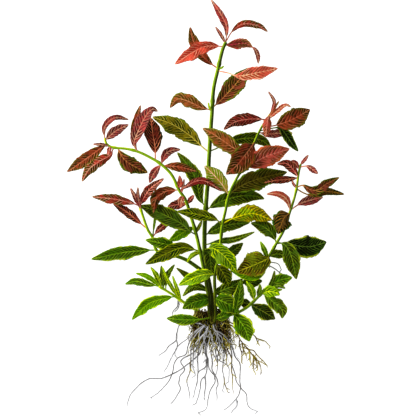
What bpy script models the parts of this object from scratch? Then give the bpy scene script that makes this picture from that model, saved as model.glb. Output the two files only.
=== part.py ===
"""Sunset hygrophila, a bare-rooted stem plant, laid on a flat surface with its roots spread below it.

The plant lies along +Y, from the crown at the origin to the growing tip, and +Z is up from the surface.
Every leaf is a thin blade on a smooth midrib, every stem a tapered round rod, and the roots are one clump
with its main roots. All lengths in the tables are millimetres: x to the side, y along the plant, z up.
"""

import math

import bmesh
import bpy
from mathutils import Vector

MM = 0.001

# Clearance between a leaf stalk and the stem that it grows from.
STALK_GAP = 0.45
STALK_HALF_WIDTH = 0.75
STALK_THICKNESS = 1.3
BLADE_THICKNESS = 0.85
TIP_THICKNESS = 0.4

# Stations along a leaf, from stalk to tip.
LEAF_STATIONS = 8
YOUNG_LEAF_STATIONS = 5

STEM_SIDES = 8
# Leaves at a stem's tip grow from this far below its end.
STEM_END_INSET = 1.3
STEM_STATION_SPACING = 11.0
ROOT_SIDES = 5
ROOT_RADIUS = 0.75
ROOT_TIP_RADIUS = 0.45
ROOT_STATION_SPACING = 11.0

ROUGHNESS = 0.5
COLOURS = {
    "stem": (0.30, 0.48, 0.05),
    "rose": (0.62, 0.13, 0.12),
    "coral": (0.72, 0.20, 0.10),
    "crimson": (0.35, 0.03, 0.03),
    "umber": (0.20, 0.07, 0.02),
    "olive": (0.22, 0.20, 0.02),
    "amber": (0.35, 0.30, 0.02),
    "green": (0.12, 0.28, 0.01),
    "dark": (0.05, 0.12, 0.01),
    "lime": (0.30, 0.50, 0.02),
    "root": (0.16, 0.11, 0.05),
}

# Each stem: radius at its foot, radius at its tip, and the points that it passes through.
STEMS = {
    "main_stem": (2.5, 1.3, [
        (0, 4.3, 12), (-1, 22, 13.5), (-4, 39, 15), (-7, 54, 16.5), (-8.5, 70, 18.5), (-8.2, 98, 23),
        (-6.4, 125, 26), (-5, 143, 28), (-3.7, 169.5, 30), (-1, 210, 31), (0.6, 233, 31), (5, 253, 30),
        (9.5, 272, 29), (12.8, 280, 29),
    ]),
    "left_branch": (1.9, 1.0, [
        (-4.5, 4.2, 16.5), (-6, 15, 18.5), (-6.5, 27, 19.8), (-7.3, 38, 21), (-9.3, 52, 23), (-12.5, 68.8, 27), (-17, 88.4, 31.5), (-21.4, 103.6, 34),
        (-27.6, 122.4, 36), (-33.4, 131.1, 37), (-41.4, 147.2, 37), (-52.1, 157.9, 36), (-63.7, 165, 34),
        (-75.3, 170.4, 32), (-86, 173.1, 30), (-101.2, 174.9, 27), (-106.6, 178.4, 26), (-108.4, 183.8, 26),
    ]),
    "low_left_branch": (1.9, 1.1, [
        (-10.6, 51, 14), (-26, 61.5, 14), (-37.5, 66, 15.5), (-56, 71, 18), (-60.3, 84, 20.5),
        (-65.5, 92.7, 22.5), (-73.5, 116, 26),
    ]),
    "centre_branch": (1.8, 1.0, [
        (3.6, 4.2, 17), (2.6, 22, 19.5), (1.6, 40, 22), (2, 50, 24), (5, 64, 28), (7.2, 76, 31), (9.2, 96.5, 36),
        (12.2, 110, 39), (15.5, 125.7, 42), (19.5, 135.6, 44), (25.8, 147.2, 45), (30.2, 153.4, 45),
        (41.8, 180.4, 42), (48, 193.8, 39.5), (57, 207.6, 36),
    ]),
    "right_branch": (1.9, 1.0, [
        (4.6, 4.6, 7.5), (11, 17, 8.5), (21, 30, 10.5), (35, 44, 13), (47, 56, 17), (54.9, 64.3, 20), (62.9, 77.7, 23),
        (70.9, 92, 26), (76.3, 108.1, 28), (81.1, 123.2, 29), (83.8, 134.9, 29), (85.6, 148.2, 28),
        (87.8, 158.1, 27),
    ]),
    "low_right_branch": (1.6, 1.1, [
        (7.5, 4.9, 12.5), (12, 5.6, 14.5), (24, 9, 17.5), (34, 14.5, 20.5), (41, 20.7, 22), (47.4, 27, 22.5),
        (57.5, 36, 25),
    ]),
    "low_left_shoot": (1.5, 1.0, [
        (-5.5, 4.9, 8), (-22, 14.5, 8.5), (-31, 20.5, 10.5), (-42, 28, 13), (-54.4, 35.7, 15),
    ]),
}

# Each full leaf: its stem, colour, width, roll of the blade in degrees, fold of its halves in degrees,
# share of its length that is stalk, and the points of its midrib from the stem to the tip.
LEAVES = {
    "leaf_top_spear": ("main_stem", "rose", 8.5, 15, 14, 0.12, [
        (13, 283, 31), (13.5, 295, 32), (7, 309, 33), (-2, 322.5, 31)]),
    "leaf_top_arched": ("main_stem", "rose", 8.5, -10, -12, 0.2, [
        (14.5, 281, 28), (19.5, 291, 27.5), (30, 298, 28), (45, 296.5, 21), (55, 291, 9)]),
    "leaf_top_purple": ("main_stem", "crimson", 10, -10, 8, 0.08, [
        (13, 276, 27), (24, 278, 26), (34, 277, 22), (41, 271, 14), (45.6, 259, 3)]),
    "leaf_top_coral": ("main_stem", "coral", 15, 14, 10, 0.1, [
        (8.6, 276, 32), (-8, 275.5, 36), (-23, 268, 35), (-38.3, 257.7, 28)]),
    "leaf_top_olive": ("main_stem", "olive", 13, -12, 8, 0.14, [
        (2.5, 254, 27), (-4, 260, 23), (-12, 268, 18), (-20, 282, 9), (-23.1, 296, 1)]),
    "leaf_top_rose": ("main_stem", "rose", 14.5, -12, 10, 0.3, [
        (6.5, 251, 32), (15, 249, 34), (24, 246, 36), (43, 249, 37), (64.9, 253.7, 31)]),
    "leaf_top_umber": ("main_stem", "umber", 18, 8, 8, 0.1, [
        (1.5, 214, 28), (9, 223, 25), (20, 235, 19), (30, 247, 12), (36.3, 255, 6)]),
    "leaf_top_drooping": ("main_stem", "olive", 12.5, 10, -12, 0.1, [
        (-3.5, 212, 32), (-13, 215, 34), (-23, 220, 33), (-35, 223, 27), (-43.2, 214.4, 16)]),
    "leaf_gold": ("main_stem", "amber", 20, 8, 8, 0.16, [
        (-6, 170, 27), (-11, 175.5, 26), (-23, 186.5, 24), (-41, 198, 17), (-61, 205.5, 6)]),
    "leaf_green_behind": ("main_stem", "green", 13, 0, 6, 0.25, [
        (-1.5, 171, 28), (3.4, 173.5, 28), (14, 180, 27), (24, 184, 25), (38, 186, 21), (50, 183, 15), (60, 173, 8)]),
    "leaf_green_upright": ("main_stem", "green", 15, -8, 8, 0.1, [
        (-9, 115, 22), (-13.5, 125, 17), (-17, 142, 16), (-27, 159, 10), (-36, 170, 4)]),
    "leaf_green_right": ("main_stem", "dark", 17.5, -8, 6, 0.08, [
        (-5, 111.5, 25), (9, 121, 28), (27, 126, 28), (42, 126, 23), (51.6, 123, 16)]),
    "leaf_dark_middle": ("main_stem", "dark", 14, -6, 6, 0.08, [
        (-6, 86, 22), (2, 92, 25), (14, 97, 26.5), (26, 98.5, 24), (37, 99.5, 20)]),
    "leaf_lime_middle": ("main_stem", "lime", 16.5, -8, 8, 0.18, [
        (-6, 72, 23), (-1, 74, 30), (5, 71, 34.5), (14, 63.4, 37), (23.6, 50, 33)]),
    "leaf_olive_rose": ("centre_branch", "olive", 17.5, 6, 8, 0.12, [
        (37, 172, 43), (23, 173, 41), (12, 180, 40), (0, 188, 38.5), (-10.4, 193.8, 36)]),
    "leaf_umber_broad": ("centre_branch", "umber", 21, 10, 6, 0.1, [
        (40, 181, 45), (35, 172, 51), (25, 159, 52.5), (14.1, 147.4, 50)]),
    "leaf_pink_broad": ("centre_branch", "rose", 21, -8, 8, 0.1, [
        (32, 152, 46), (40, 158.5, 46), (54, 166, 45.5), (76.6, 173.2, 40)]),
    "leaf_amber_green": ("centre_branch", "olive", 19, -8, 6, 0.06, [
        (18, 128, 40), (23, 135, 37), (34, 141, 33.5), (53, 146, 28), (73.1, 149.1, 21)]),
    "leaf_pale_pink": ("centre_branch", "olive", 18, 8, 8, 0.1, [
        (13.5, 128, 42), (9, 137.5, 41), (0, 148, 38.5), (-8.6, 156.1, 36)]),
    "leaf_crimson_left": ("centre_branch", "crimson", 13.5, 10, -8, 0.1, [
        (51, 204, 38), (42, 203, 40), (34, 202.5, 39), (22, 200, 34), (10.6, 192.4, 26)]),
    "leaf_red_hanging": ("centre_branch", "rose", 10, 0, -12, 0.05, [
        (54.5, 208, 40), (54.5, 201, 44), (53.5, 193, 44.5), (52.5, 184.5, 42)]),
    "leaf_olive_broad": ("centre_branch", "olive", 21, -8, 8, 0.28, [
        (50, 195, 37), (56, 196, 36), (64, 198.5, 37), (79, 204.5, 38), (97.2, 212.5, 31)]),
    "leaf_olive_left": ("centre_branch", "olive", 12.5, 8, -6, 0.16, [
        (7, 97, 37), (3, 102.5, 40), (-17, 108, 41), (-36, 110.7, 37.5)]),
    "leaf_amber_right": ("centre_branch", "amber", 16.5, -8, -8, 0.2, [
        (11, 98, 36), (20, 103.6, 36), (39, 108.5, 33), (59.3, 101.8, 25)]),
    "leaf_olive_dark_inner": ("centre_branch", "dark", 13, -10, 6, 0.06, [
        (5.2, 55, 25), (10, 46, 26), (15, 35.5, 24)]),
    "leaf_dark_inner_right": ("centre_branch", "dark", 11.5, -10, 8, 0.08, [
        (8.5, 67, 27), (18, 70, 24), (30.3, 79, 18)]),
    "leaf_lime_left": ("centre_branch", "lime", 14.5, 8, 8, 0.05, [
        (0, 47.5, 27), (-9, 47.5, 30), (-20, 44, 30), (-34.6, 36.6, 26)]),
    "leaf_maroon_left": ("left_branch", "crimson", 15.5, -10, 10, 0.16, [
        (-56, 164, 36), (-58, 174, 35), (-60.1, 187.4, 31), (-62.8, 205.2, 23)]),
    "leaf_pink_folded": ("left_branch", "rose", 12, 8, 10, 0.12, [
        (-76, 172, 34), (-79, 178, 37), (-75, 190, 41), (-67, 206, 43), (-60.5, 212.5, 41), (-55, 210.5, 37)]),
    "leaf_umber_left": ("left_branch", "umber", 14, -8, 8, 0.06, [
        (-95.5, 171.8, 27), (-90, 164, 27), (-82, 157.5, 23), (-65.5, 149.4, 14)]),
    "leaf_rose_left": ("left_branch", "rose", 10, 8, -10, 0.08, [
        (-99.5, 172, 27), (-103, 167, 28), (-114, 160.5, 27), (-123.5, 153.4, 21), (-131.6, 140.5, 9)]),
    "leaf_far_left": ("left_branch", "rose", 11.5, 8, 8, 0.06, [
        (-107.5, 175.5, 27), (-115, 172, 27), (-127, 163.5, 21), (-146.7, 150.3, 2)]),
    "leaf_olive_hooked": ("left_branch", "olive", 14, 6, -14, 0.08, [
        (-36, 131.5, 36), (-47, 130.5, 34), (-56.5, 123.5, 32), (-59.7, 108.8, 26)]),
    "leaf_dark_left": ("left_branch", "dark", 18.5, 6, 8, 0.12, [
        (-18, 86.5, 31), (-22.5, 90.5, 36), (-31, 98, 31), (-48.4, 107, 24), (-63, 113, 16), (-74, 116.5, 10)]),
    "leaf_green_left": ("left_branch", "green", 11.5, 6, 8, 0.05, [
        (-20.5, 95, 30), (-29, 90, 22), (-45, 80, 15)]),
    "leaf_brown_left": ("left_branch", "olive", 12.5, 8, 8, 0.1, [
        (-15, 70.5, 27), (-30, 74.5, 31), (-48, 68, 30), (-67.8, 57.6, 21)]),
    "leaf_low_left_long": ("low_left_branch", "green", 13.5, 8, 8, 0.1, [
        (-58, 71.5, 17), (-68, 71.5, 16), (-90, 69.5, 12), (-122.7, 62.5, 1.5)]),
    "leaf_low_left_short": ("low_left_branch", "green", 11.5, 0, 8, 0.12, [
        (-40, 68.5, 17), (-43.5, 76, 22), (-55, 79.5, 26), (-67.8, 82.2, 27)]),
    "leaf_red_far": ("low_left_branch", "rose", 11, 10, 10, 0.12, [
        (-75.5, 117, 27), (-82, 119.3, 29), (-99.4, 123.1, 29), (-121.3, 125.3, 21)]),
    "leaf_maroon_far": ("low_left_branch", "crimson", 9.5, 0, 8, 0.2, [
        (-66, 93, 22), (-73, 99, 18.5), (-86, 109.7, 17), (-100.3, 118.6, 9)]),
    "leaf_pink_upright": ("low_left_branch", "rose", 10.5, -8, 10, 0.06, [
        (-73, 117, 28), (-63.7, 132.5, 35), (-49, 143.6, 39)]),
    "leaf_right_arched": ("right_branch", "dark", 12, 0, -8, 0.1, [
        (62, 79.5, 25), (59, 88.5, 25), (50, 95.5, 22), (38, 99, 14)]),
    "leaf_right_long": ("right_branch", "dark", 21, -6, 8, 0.2, [
        (65, 78, 21), (74.5, 79, 19), (86, 76, 17), (99, 75.5, 12), (114.2, 80, 1.5)]),
    "leaf_right_hanging": ("right_branch", "green", 13.5, -8, 8, 0.12, [
        (65, 79.5, 25), (73, 76, 30), (79, 63.4, 31), (83.4, 42.4, 25)]),
    "leaf_oval": ("right_branch", "olive", 23, 4, -6, 0.05, [
        (54, 62, 23), (50, 61.5, 28), (40, 57.5, 31), (25.4, 51.8, 28)]),
    "leaf_round_dark": ("right_branch", "umber", 18, 6, -8, 0.05, [
        (75.5, 109.5, 30), (71, 104, 34), (64.7, 88, 32)]),
    "leaf_right_bent": ("right_branch", "umber", 11, -8, 10, 0.14, [
        (85, 135, 31), (90, 136.6, 32), (97, 132.5, 32), (104, 132, 31.5), (113, 138, 30), (126.6, 144.7, 24)]),
    "leaf_front_left": ("left_branch", "green", 15.5, 8, 6, 0.06, [
        (-7, 24.5, 21), (-12, 24.8, 26), (-22, 20, 27), (-30.5, 12, 22)]),
    "leaf_front_right": ("centre_branch", "green", 17.5, -8, 6, 0.06, [
        (3, 25, 22), (10, 24, 27), (19, 18.5, 27.5), (27, 9.5, 24)]),
    "leaf_low_left_big": ("low_left_shoot", "green", 13.5, 8, 10, 0.08, [
        (-38, 25, 12), (-46, 24, 16), (-63, 19, 12), (-75, 9, 5.5), (-81.5, 1.5, 1.5)]),
    "leaf_low_right_hanging": ("low_right_branch", "green", 17, -6, 6, 0.08, [
        (22, 7, 19), (28, 1, 20), (33.5, -7.8, 17), (36.6, -20, 9)]),
    "leaf_low_right_dark": ("low_right_branch", "dark", 16, 0, 6, 0.05, [
        (41.5, 19, 20), (50, 12, 17), (62.5, 1.5, 9)]),
}

# Each stem's young and narrow leaves, which grow from it as one piece here. The rows are a full leaf's.
YOUNG_LEAVES = {
    "main_stem": [
        ("rose", 4.2, 0, 12, 0.05, [(12, 279, 29), (8, 287, 33), (2.4, 295.2, 36)]),
        ("lime", 2.4, 0, 10, 0.05, [(-1, 211, 31), (-3.5, 214, 33.5), (-4.6, 219.5, 35)]),
        ("green", 2.4, 0, 10, 0.05, [(5, 253, 30), (8.5, 254, 32), (10.8, 256, 33)]),
        ("green", 7, -12, 8, 0.12, [(-8, 77, 20), (0.4, 79, 26), (8, 81, 28), (22.7, 83.1, 29.5), (42, 90.2, 29)]),
        ("dark", 9.5, 0, 6, 0.06, [(-7.5, 70, 19), (-2.5, 67, 22.5), (-1, 58, 21.5), (0.5, 49, 19)]),
        ("dark", 8.5, 0, -8, 0.08, [(-2.5, 30, 14), (-13, 34.5, 18.5), (-21, 34.5, 19), (-30.5, 25.5, 16.5)]),
        ("olive", 7.5, 0, 8, 0.1, [(-5, 42, 15), (-13, 41, 10), (-24, 45, 8), (-37, 54, 6)]),
        ("green", 10.5, 4, 8, 0.25, [(-0.5, 9, 12.3), (-12, 8.5, 15), (-22, 7, 14.5), (-34, 6, 12), (-46.6, 4.5, 8)]),
        ("dark", 13, 0, 6, 0.08, [(-1.5, 27, 14), (9, 31.5, 18.5), (20, 36, 18.5), (30, 43, 17.5)]),
    ],
    "left_branch": [
        ("rose", 7, -10, 10, 0.08, [(-52, 158, 36), (-47, 168.5, 40), (-40, 172, 41), (-32.5, 172.2, 40)]),
        ("coral", 9, -6, 10, 0.08, [(-50, 156, 36.5), (-35, 155.3, 39), (-16.4, 150.7, 35)]),
        ("rose", 7.5, 0, 8, 0.08, [(-52.5, 157, 36), (-59, 149, 31), (-63.7, 139.1, 25)]),
        ("umber", 9, 0, 8, 0.08, [(-76, 170.5, 31.5), (-79, 181, 29), (-77, 200, 26), (-72.6, 217.3, 18)]),
        ("rose", 5.5, 10, 10, 0.1, [(-108.3, 183, 26), (-109, 193, 29), (-104.8, 200, 31), (-97.6, 204.5, 30),
                                    (-84.2, 202.5, 25)]),
        ("rose", 9, 0, 10, 0.06, [(-107.5, 182, 26.5), (-97.6, 190.8, 31), (-84.2, 197.5, 33)]),
        ("rose", 4, 0, 10, 0.05, [(-104, 176.5, 27), (-112, 177.5, 31), (-120, 177.8, 32)]),
        ("rose", 5, 0, 8, 0.05, [(-103, 176, 27), (-104, 171, 31.5), (-105, 166.5, 33)]),
        ("rose", 6, 0, 12, 0.05, [(-34.8, 134, 37), (-32.8, 138, 41), (-33.4, 146.5, 43)]),
        ("rose", 3, 0, 10, 0.05, [(-31.8, 129, 37), (-29.6, 137, 41), (-28.8, 143, 42)]),
        ("crimson", 8, 6, -10, 0.08, [(-33.4, 131.1, 37), (-26, 136, 42), (-18, 140.3, 45), (-11, 141.5, 47),
                                      (-2, 138, 47.5), (8.8, 130.7, 46)]),
        ("rose", 7, 0, 12, 0.05, [(-30, 126.5, 37), (-32, 121, 42), (-32, 114, 42.5)]),
        ("crimson", 10, 0, 6, 0.06, [(-26, 118.5, 35.5), (-35, 117.5, 31.5), (-45.5, 115.5, 27)]),
        ("crimson", 5.5, 0, 8, 0.06, [(-25.5, 118, 35.5), (-22.5, 122.5, 34), (-19, 127, 33)]),
        ("olive", 4, 0, 8, 0.06, [(-17, 89, 31.5), (-14, 95, 32), (-11, 101.5, 32)]),
        ("lime", 5.5, 0, -8, 0.08, [(-12.5, 68.5, 27), (-17.5, 68.5, 35), (-22, 65.5, 36.5), (-26, 60, 36)]),
    ],
    "low_left_branch": [
        ("rose", 5.5, 0, 10, 0.05, [(-73.3, 115.5, 26), (-78, 125, 32), (-82.5, 134, 35)]),
        ("rose", 5, 0, 10, 0.05, [(-72, 112, 25.5), (-75, 124, 33), (-75, 135, 36)]),
        ("green", 3, 0, 8, 0.3, [(-60.5, 84.5, 20.5), (-59, 97, 14), (-57.5, 109, 8)]),
        ("crimson", 8, 0, 6, 0.2, [(-60.5, 85, 20.5), (-53, 93.5, 14), (-42, 102, 8)]),
    ],
    "centre_branch": [
        ("coral", 4, 0, 10, 0.1, [(56.8, 207.3, 36), (59.8, 214, 38), (61, 221, 40), (55.2, 230.4, 41)]),
        ("umber", 3, 0, 10, 0.1, [(54.6, 203.8, 36.8), (61.5, 214, 37.5), (65.9, 220.8, 39)]),
        ("coral", 4.8, 0, 8, 0.1, [(52.6, 200.6, 37.6), (67, 213.5, 36), (73, 217, 36), (78, 215, 34)]),
        ("rose", 9, 0, 6, 0.1, [(46, 189.5, 40), (56, 188, 31), (68, 189, 26), (80, 189, 21)]),
        ("dark", 10, -6, -10, 0.25, [(46.5, 190.5, 40), (58, 193, 32.5), (68, 193.5, 31.5), (75, 187, 31),
                                   (82, 178.5, 28), (86, 170.5, 23)]),
    ],
    "right_branch": [
        ("rose", 4, 0, 10, 0.05, [(87.6, 157, 27), (91.5, 162, 30), (95.4, 167.2, 31)]),
        ("rose", 6.5, 0, 10, 0.3, [(87.1, 154.6, 27), (94.5, 155.6, 29), (105.2, 148.2, 26)]),
        ("rose", 5.5, 0, 10, 0.05, [(86.7, 152.7, 27), (81.5, 159.5, 28), (76, 159.5, 26)]),
        ("crimson", 10, 0, -8, 0.06, [(85.3, 145, 28.3), (80, 152.5, 32), (73, 158.5, 34), (64, 158, 33)]),
        ("crimson", 8, 0, 8, 0.06, [(85.2, 144, 28.3), (73, 142.5, 33), (62, 141.5, 35.5), (51.2, 139.3, 36)]),
        ("crimson", 3, 0, 8, 0.06, [(83.6, 134, 29), (80.5, 138, 30.5), (78.8, 142, 31)]),
        ("dark", 8, 0, 8, 0.25, [(83.6, 133, 29), (92, 128.5, 26), (100, 127, 25), (114, 130.5, 24), (132, 127.7, 15)]),
        ("rose", 10.5, 0, 8, 0.25, [(77.3, 112, 28), (87.4, 118.5, 23.5), (98, 122, 19), (110.6, 125, 12)]),
        ("rose", 7.5, 0, -8, 0.1, [(76.8, 110.5, 28), (75, 120.5, 32), (69.5, 126.3, 33), (61, 128.5, 32.5),
                                   (53.4, 127.7, 30)]),
        ("dark", 10, 0, 6, 0.08, [(55.5, 65.5, 20), (64, 68, 15), (73.5, 66, 9)]),
        ("lime", 6, 0, 10, 0.06, [(54.5, 64, 20), (51, 73, 26), (47.3, 80.6, 28)]),
        ("olive", 8.5, 0, 6, 0.06, [(33.5, 42.5, 12.7), (41, 42.5, 13.5), (49, 41.5, 13)]),
    ],
    "low_right_branch": [
        ("lime", 8, 0, 10, 0.1, [(41, 20.7, 22), (39, 31, 26.5), (33.3, 41.1, 27)]),
        ("dark", 7.5, 0, 6, 0.06, [(39, 19, 21.5), (33.5, 22, 19), (25.5, 21, 17)]),
        ("green", 12, 0, 6, 0.06, [(50, 29.5, 23), (60, 20, 21.5), (69, 12, 18), (69.5, 3, 11)]),
        ("lime", 11, 0, 10, 0.05, [(48.3, 27.9, 22.7), (54.5, 30.3, 26.5), (60.5, 30, 28.5), (67, 27, 28.5)]),
        ("dark", 5.5, 0, 8, 0.05, [(45, 24.6, 22.4), (47, 33.5, 27), (46.8, 38, 29)]),
        ("green", 12, 0, 8, 0.05, [(56.5, 35, 25), (66, 41.5, 26), (79.5, 44.5, 22)]),
        ("dark", 5, 0, 8, 0.05, [(54.9, 33.5, 24.8), (60, 42, 31), (61.6, 51.5, 33)]),
        ("dark", 6, 0, 8, 0.05, [(53.2, 32, 24.3), (65, 36.5, 30), (72.5, 33.5, 29.5)]),
        ("lime", 5, 0, 8, 0.05, [(51.6, 30.6, 24), (62, 31.5, 22), (69.5, 32.5, 22.5)]),
    ],
    "low_left_shoot": [
        ("green", 8.5, 0, 8, 0.12, [(-54, 35.5, 15), (-66, 38, 16), (-78, 40.5, 14), (-88.4, 37.5, 8)]),
        ("lime", 6, 0, 10, 0.1, [(-52.5, 34.5, 14.8), (-65, 45, 19), (-77.6, 48.7, 18)]),
        ("lime", 6, 0, 10, 0.1, [(-51, 33.6, 14.5), (-57, 47, 21), (-62.5, 55, 22)]),
        ("dark", 6, 0, 8, 0.1, [(-49.3, 32.6, 14.2), (-51, 47, 20), (-51.7, 56.5, 21)]),
        ("dark", 6, 0, 8, 0.15, [(-47.5, 31.5, 13.8), (-46, 46, 17), (-38.4, 57.6, 15)]),
        ("lime", 4.5, 0, 10, 0.08, [(-33, 22, 11), (-44.5, 40, 22), (-50.9, 55.4, 26)]),
        ("lime", 4.5, 0, 10, 0.08, [(-32, 21.2, 10.7), (-36.5, 34, 20), (-40.6, 46.5, 22)]),
    ],
}

# The root clump: for each section along y, its half width and its height above the surface.
CLUMP_SECTIONS = [(3.6, 9, 17), (-3, 17, 21), (-12, 25, 23), (-22, 26, 20), (-31, 21, 14), (-39, 10, 6)]
CLUMP_ARCH_POINTS = 9

# The main roots, from the clump outwards.
MAIN_ROOTS = [
    [(-14, -22, 6), (-22, -29, 4), (-31.8, -47.6, 1.5), (-44, -54.7, 1), (-66.5, -58.3, 1), (-80.8, -70.6, 1),
     (-85.9, -81.3, 1)],
    [(-16, -16, 6), (-26, -28, 4), (-37, -38, 1.5), (-40.4, -49.6, 2.8), (-52.2, -70, 1), (-63.4, -77.2, 1)],
    [(-8, -26, 6), (-24, -41, 2.8), (-29.2, -49, 4), (-34.3, -58, 1.4), (-33.3, -67, 1), (-42, -81.8, 1)],
    [(-5, -28, 6), (-6.3, -43.5, 2), (-14.4, -51.7, 1), (-16, -59.8, 1), (-19.5, -74.1, 1)],
    [(0, -26, 6), (-3, -47, 2), (1.9, -59.8, 1), (-4.2, -74.1, 1), (-5.8, -85.3, 1), (-15.4, -92.5, 1)],
    [(5, -28, 6), (4.5, -47.6, 2), (5, -61.9, 1), (3.9, -76.2, 1)],
    [(12, -24, 6), (19.2, -41.5, 2), (21.3, -53.7, 1), (27.4, -66, 2.6), (36.6, -87.4, 1), (45.8, -90.4, 1)],
    [(17, -22, 6), (27, -44, 1.5), (28.5, -64, 1), (23.3, -78.2, 1), (12.6, -86.9, 1)],
    [(-14, -4, 9), (-30, -6, 6), (-36, -19, 3), (-41, -33.3, 1), (-46.6, -47, 1)],
    [(13, -7, 7), (29.4, -19, 4), (37.6, -29.2, 2), (53.9, -44, 1)],
    [(13, -3, 9), (36, -11, 6), (48.8, -18, 3), (57.5, -24.1, 1)],
]


def clear_scene():
    for obj in list(bpy.data.objects):
        bpy.data.objects.remove(obj)


def millimetres(point):
    return Vector(point) * MM


def smooth_path(points, count):
    """`count` + 1 points, evenly spaced by chord length, on a smooth curve through the given points."""
    knots = [Vector(p) for p in points]
    times = [0.0]
    for a, b in zip(knots, knots[1:]):
        times.append(times[-1] + (b - a).length)
    last = len(knots) - 1
    slopes = []
    for i in range(last + 1):
        before, after = max(i - 1, 0), min(i + 1, last)
        slopes.append((knots[after] - knots[before]) / (times[after] - times[before]))
    path = []
    for step in range(count + 1):
        time = times[-1] * step / count
        i = min(max(k for k in range(last + 1) if times[k] <= time + 1e-9), last - 1)
        span = times[i + 1] - times[i]
        t = (time - times[i]) / span
        path.append(
            knots[i] * (2 * t**3 - 3 * t**2 + 1)
            + slopes[i] * span * (t**3 - 2 * t**2 + t)
            + knots[i + 1] * (3 * t**2 - 2 * t**3)
            + slopes[i + 1] * span * (t**3 - t**2)
        )
    return path


def tangents(path):
    last = len(path) - 1
    return [(path[min(i + 1, last)] - path[max(i - 1, 0)]).normalized() for i in range(last + 1)]


def path_length(points):
    return sum((Vector(b) - Vector(a)).length for a, b in zip(points, points[1:]))


def nearest_on_stem(stem, point, end_inset):
    """The point of the stem's centre line nearest to `point`, and the stem's radius there."""
    foot_radius, tip_radius, points = STEMS[stem]
    samples = 240
    path = smooth_path(points, samples)
    inside = [i for i in range(samples + 1) if (path[i] - path[-1]).length >= end_inset]
    best = min(inside, key=lambda i: (path[i] - Vector(point)).length)
    return path[best], foot_radius + (tip_radius - foot_radius) * best / samples


def attached(stem, points, gap):
    """The midrib's points with the first one moved to the stem: `gap` outside its surface, or its centre line."""
    centre, radius = nearest_on_stem(stem, points[0], STEM_END_INSET if gap is None else 0)
    if gap is None:
        return [centre] + [Vector(p) for p in points[1:]]
    outward = Vector(points[1]) - centre
    reach = radius + STALK_HALF_WIDTH + gap
    return [centre + outward.normalized() * reach] + [Vector(p) for p in points[1:]]


def mesh_object(name, bm, colour, collection=None):
    bmesh.ops.recalc_face_normals(bm, faces=bm.faces)
    mesh = bpy.data.meshes.new(name)
    bm.to_mesh(mesh)
    bm.free()
    mesh.shade_smooth()
    mesh.set_sharp_from_angle(angle=math.radians(50))
    mesh.materials.append(material(name, colour))
    obj = bpy.data.objects.new(name, mesh)
    (collection or bpy.context.scene.collection).objects.link(obj)
    return obj


def material(name, colour):
    made = bpy.data.materials.new(name)
    made.use_nodes = True
    surface = made.node_tree.nodes["Principled BSDF"]
    surface.inputs["Base Color"].default_value = (*COLOURS[colour], 1)
    surface.inputs["Roughness"].default_value = ROUGHNESS
    surface.inputs["Metallic"].default_value = 0
    return made


def loft(bm, rings, end_point=None):
    """Skins the rings of points, closes the first one and closes the last one or runs it to `end_point`.

    Each step is split into triangles from its even points, which are a blade's edges, so that the two
    sides of a thin blade never cross.
    """
    rows = [[bm.verts.new(millimetres(p)) for p in ring] for ring in rings]
    sides = len(rows[0])
    for low, high in zip(rows, rows[1:]):
        for i in range(sides):
            j = (i + 1) % sides
            if i % 2 == 0:
                bm.faces.new((low[i], low[j], high[j]))
                bm.faces.new((low[i], high[j], high[i]))
            else:
                bm.faces.new((low[i], low[j], high[i]))
                bm.faces.new((low[j], high[j], high[i]))
    bm.faces.new(rows[0][::-1])
    if end_point is None:
        bm.faces.new(rows[-1])
        return
    apex = bm.verts.new(millimetres(end_point))
    for i in range(sides):
        bm.faces.new((rows[-1][i], rows[-1][(i + 1) % sides], apex))


def blade_width_share(share, stalk):
    """Half width of a leaf's blade as a share of its widest, at a share of the leaf's length."""
    along = (share - stalk) / (1 - stalk)
    if along <= 0:
        return 0.0
    return math.sin(math.pi * min(along, 1.0) ** 0.9) ** 0.85


def leaf_rings(points, width, roll, fold, stalk, stations):
    path = smooth_path(points, stations)
    rings = []
    for i, (centre, tangent) in enumerate(zip(path, tangents(path))):
        if i == stations:
            break
        share = i / stations
        side = tangent.cross(Vector((0, 0, 1))).normalized()
        normal = side.cross(tangent)
        turn, lift = math.radians(roll), math.radians(fold)
        side, normal = (
            side * math.cos(turn) + normal * math.sin(turn),
            normal * math.cos(turn) - side * math.sin(turn),
        )
        wide = blade_width_share(share, stalk)
        half = STALK_HALF_WIDTH * (1 - wide) + width / 2 * wide
        if share <= stalk:
            thick = STALK_THICKNESS
        else:
            thick = BLADE_THICKNESS + (TIP_THICKNESS - BLADE_THICKNESS) * (share - stalk) / (1 - stalk)
        out = side * half * math.cos(lift)
        up = normal * half * math.sin(lift) * min(wide * 2, 1)
        rings.append([centre - out + up, centre - normal * thick / 2, centre + out + up, centre + normal * thick / 2])
    return rings, path[-1]


def add_leaf(name, stem, colour, width, roll, fold, stalk, points, gap, stations, collection=None):
    rings, tip = leaf_rings(attached(stem, points, gap), width, roll, fold, stalk, stations)
    bm = bmesh.new()
    loft(bm, rings, tip)
    return mesh_object(name, bm, colour, collection)


def round_rod(bm, path, radius_at, sides):
    """A tapered rod about `path`; radius_at gives its radius at a share of its length."""
    rings = []
    last = len(path) - 1
    for i, (centre, tangent) in enumerate(zip(path, tangents(path))):
        side = tangent.cross(Vector((0, 0, 1))).normalized()
        up = side.cross(tangent)
        radius = radius_at(i / last)
        ring = []
        for k in range(sides):
            angle = 2 * math.pi * k / sides
            ring.append(centre + (side * math.cos(angle) + up * math.sin(angle)) * radius)
        rings.append(ring)
    loft(bm, rings)


def helpers(name):
    """A collection for the solids that are joined to another one."""
    made = bpy.data.collections.new(name)
    bpy.context.scene.collection.children.link(made)
    return made


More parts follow.
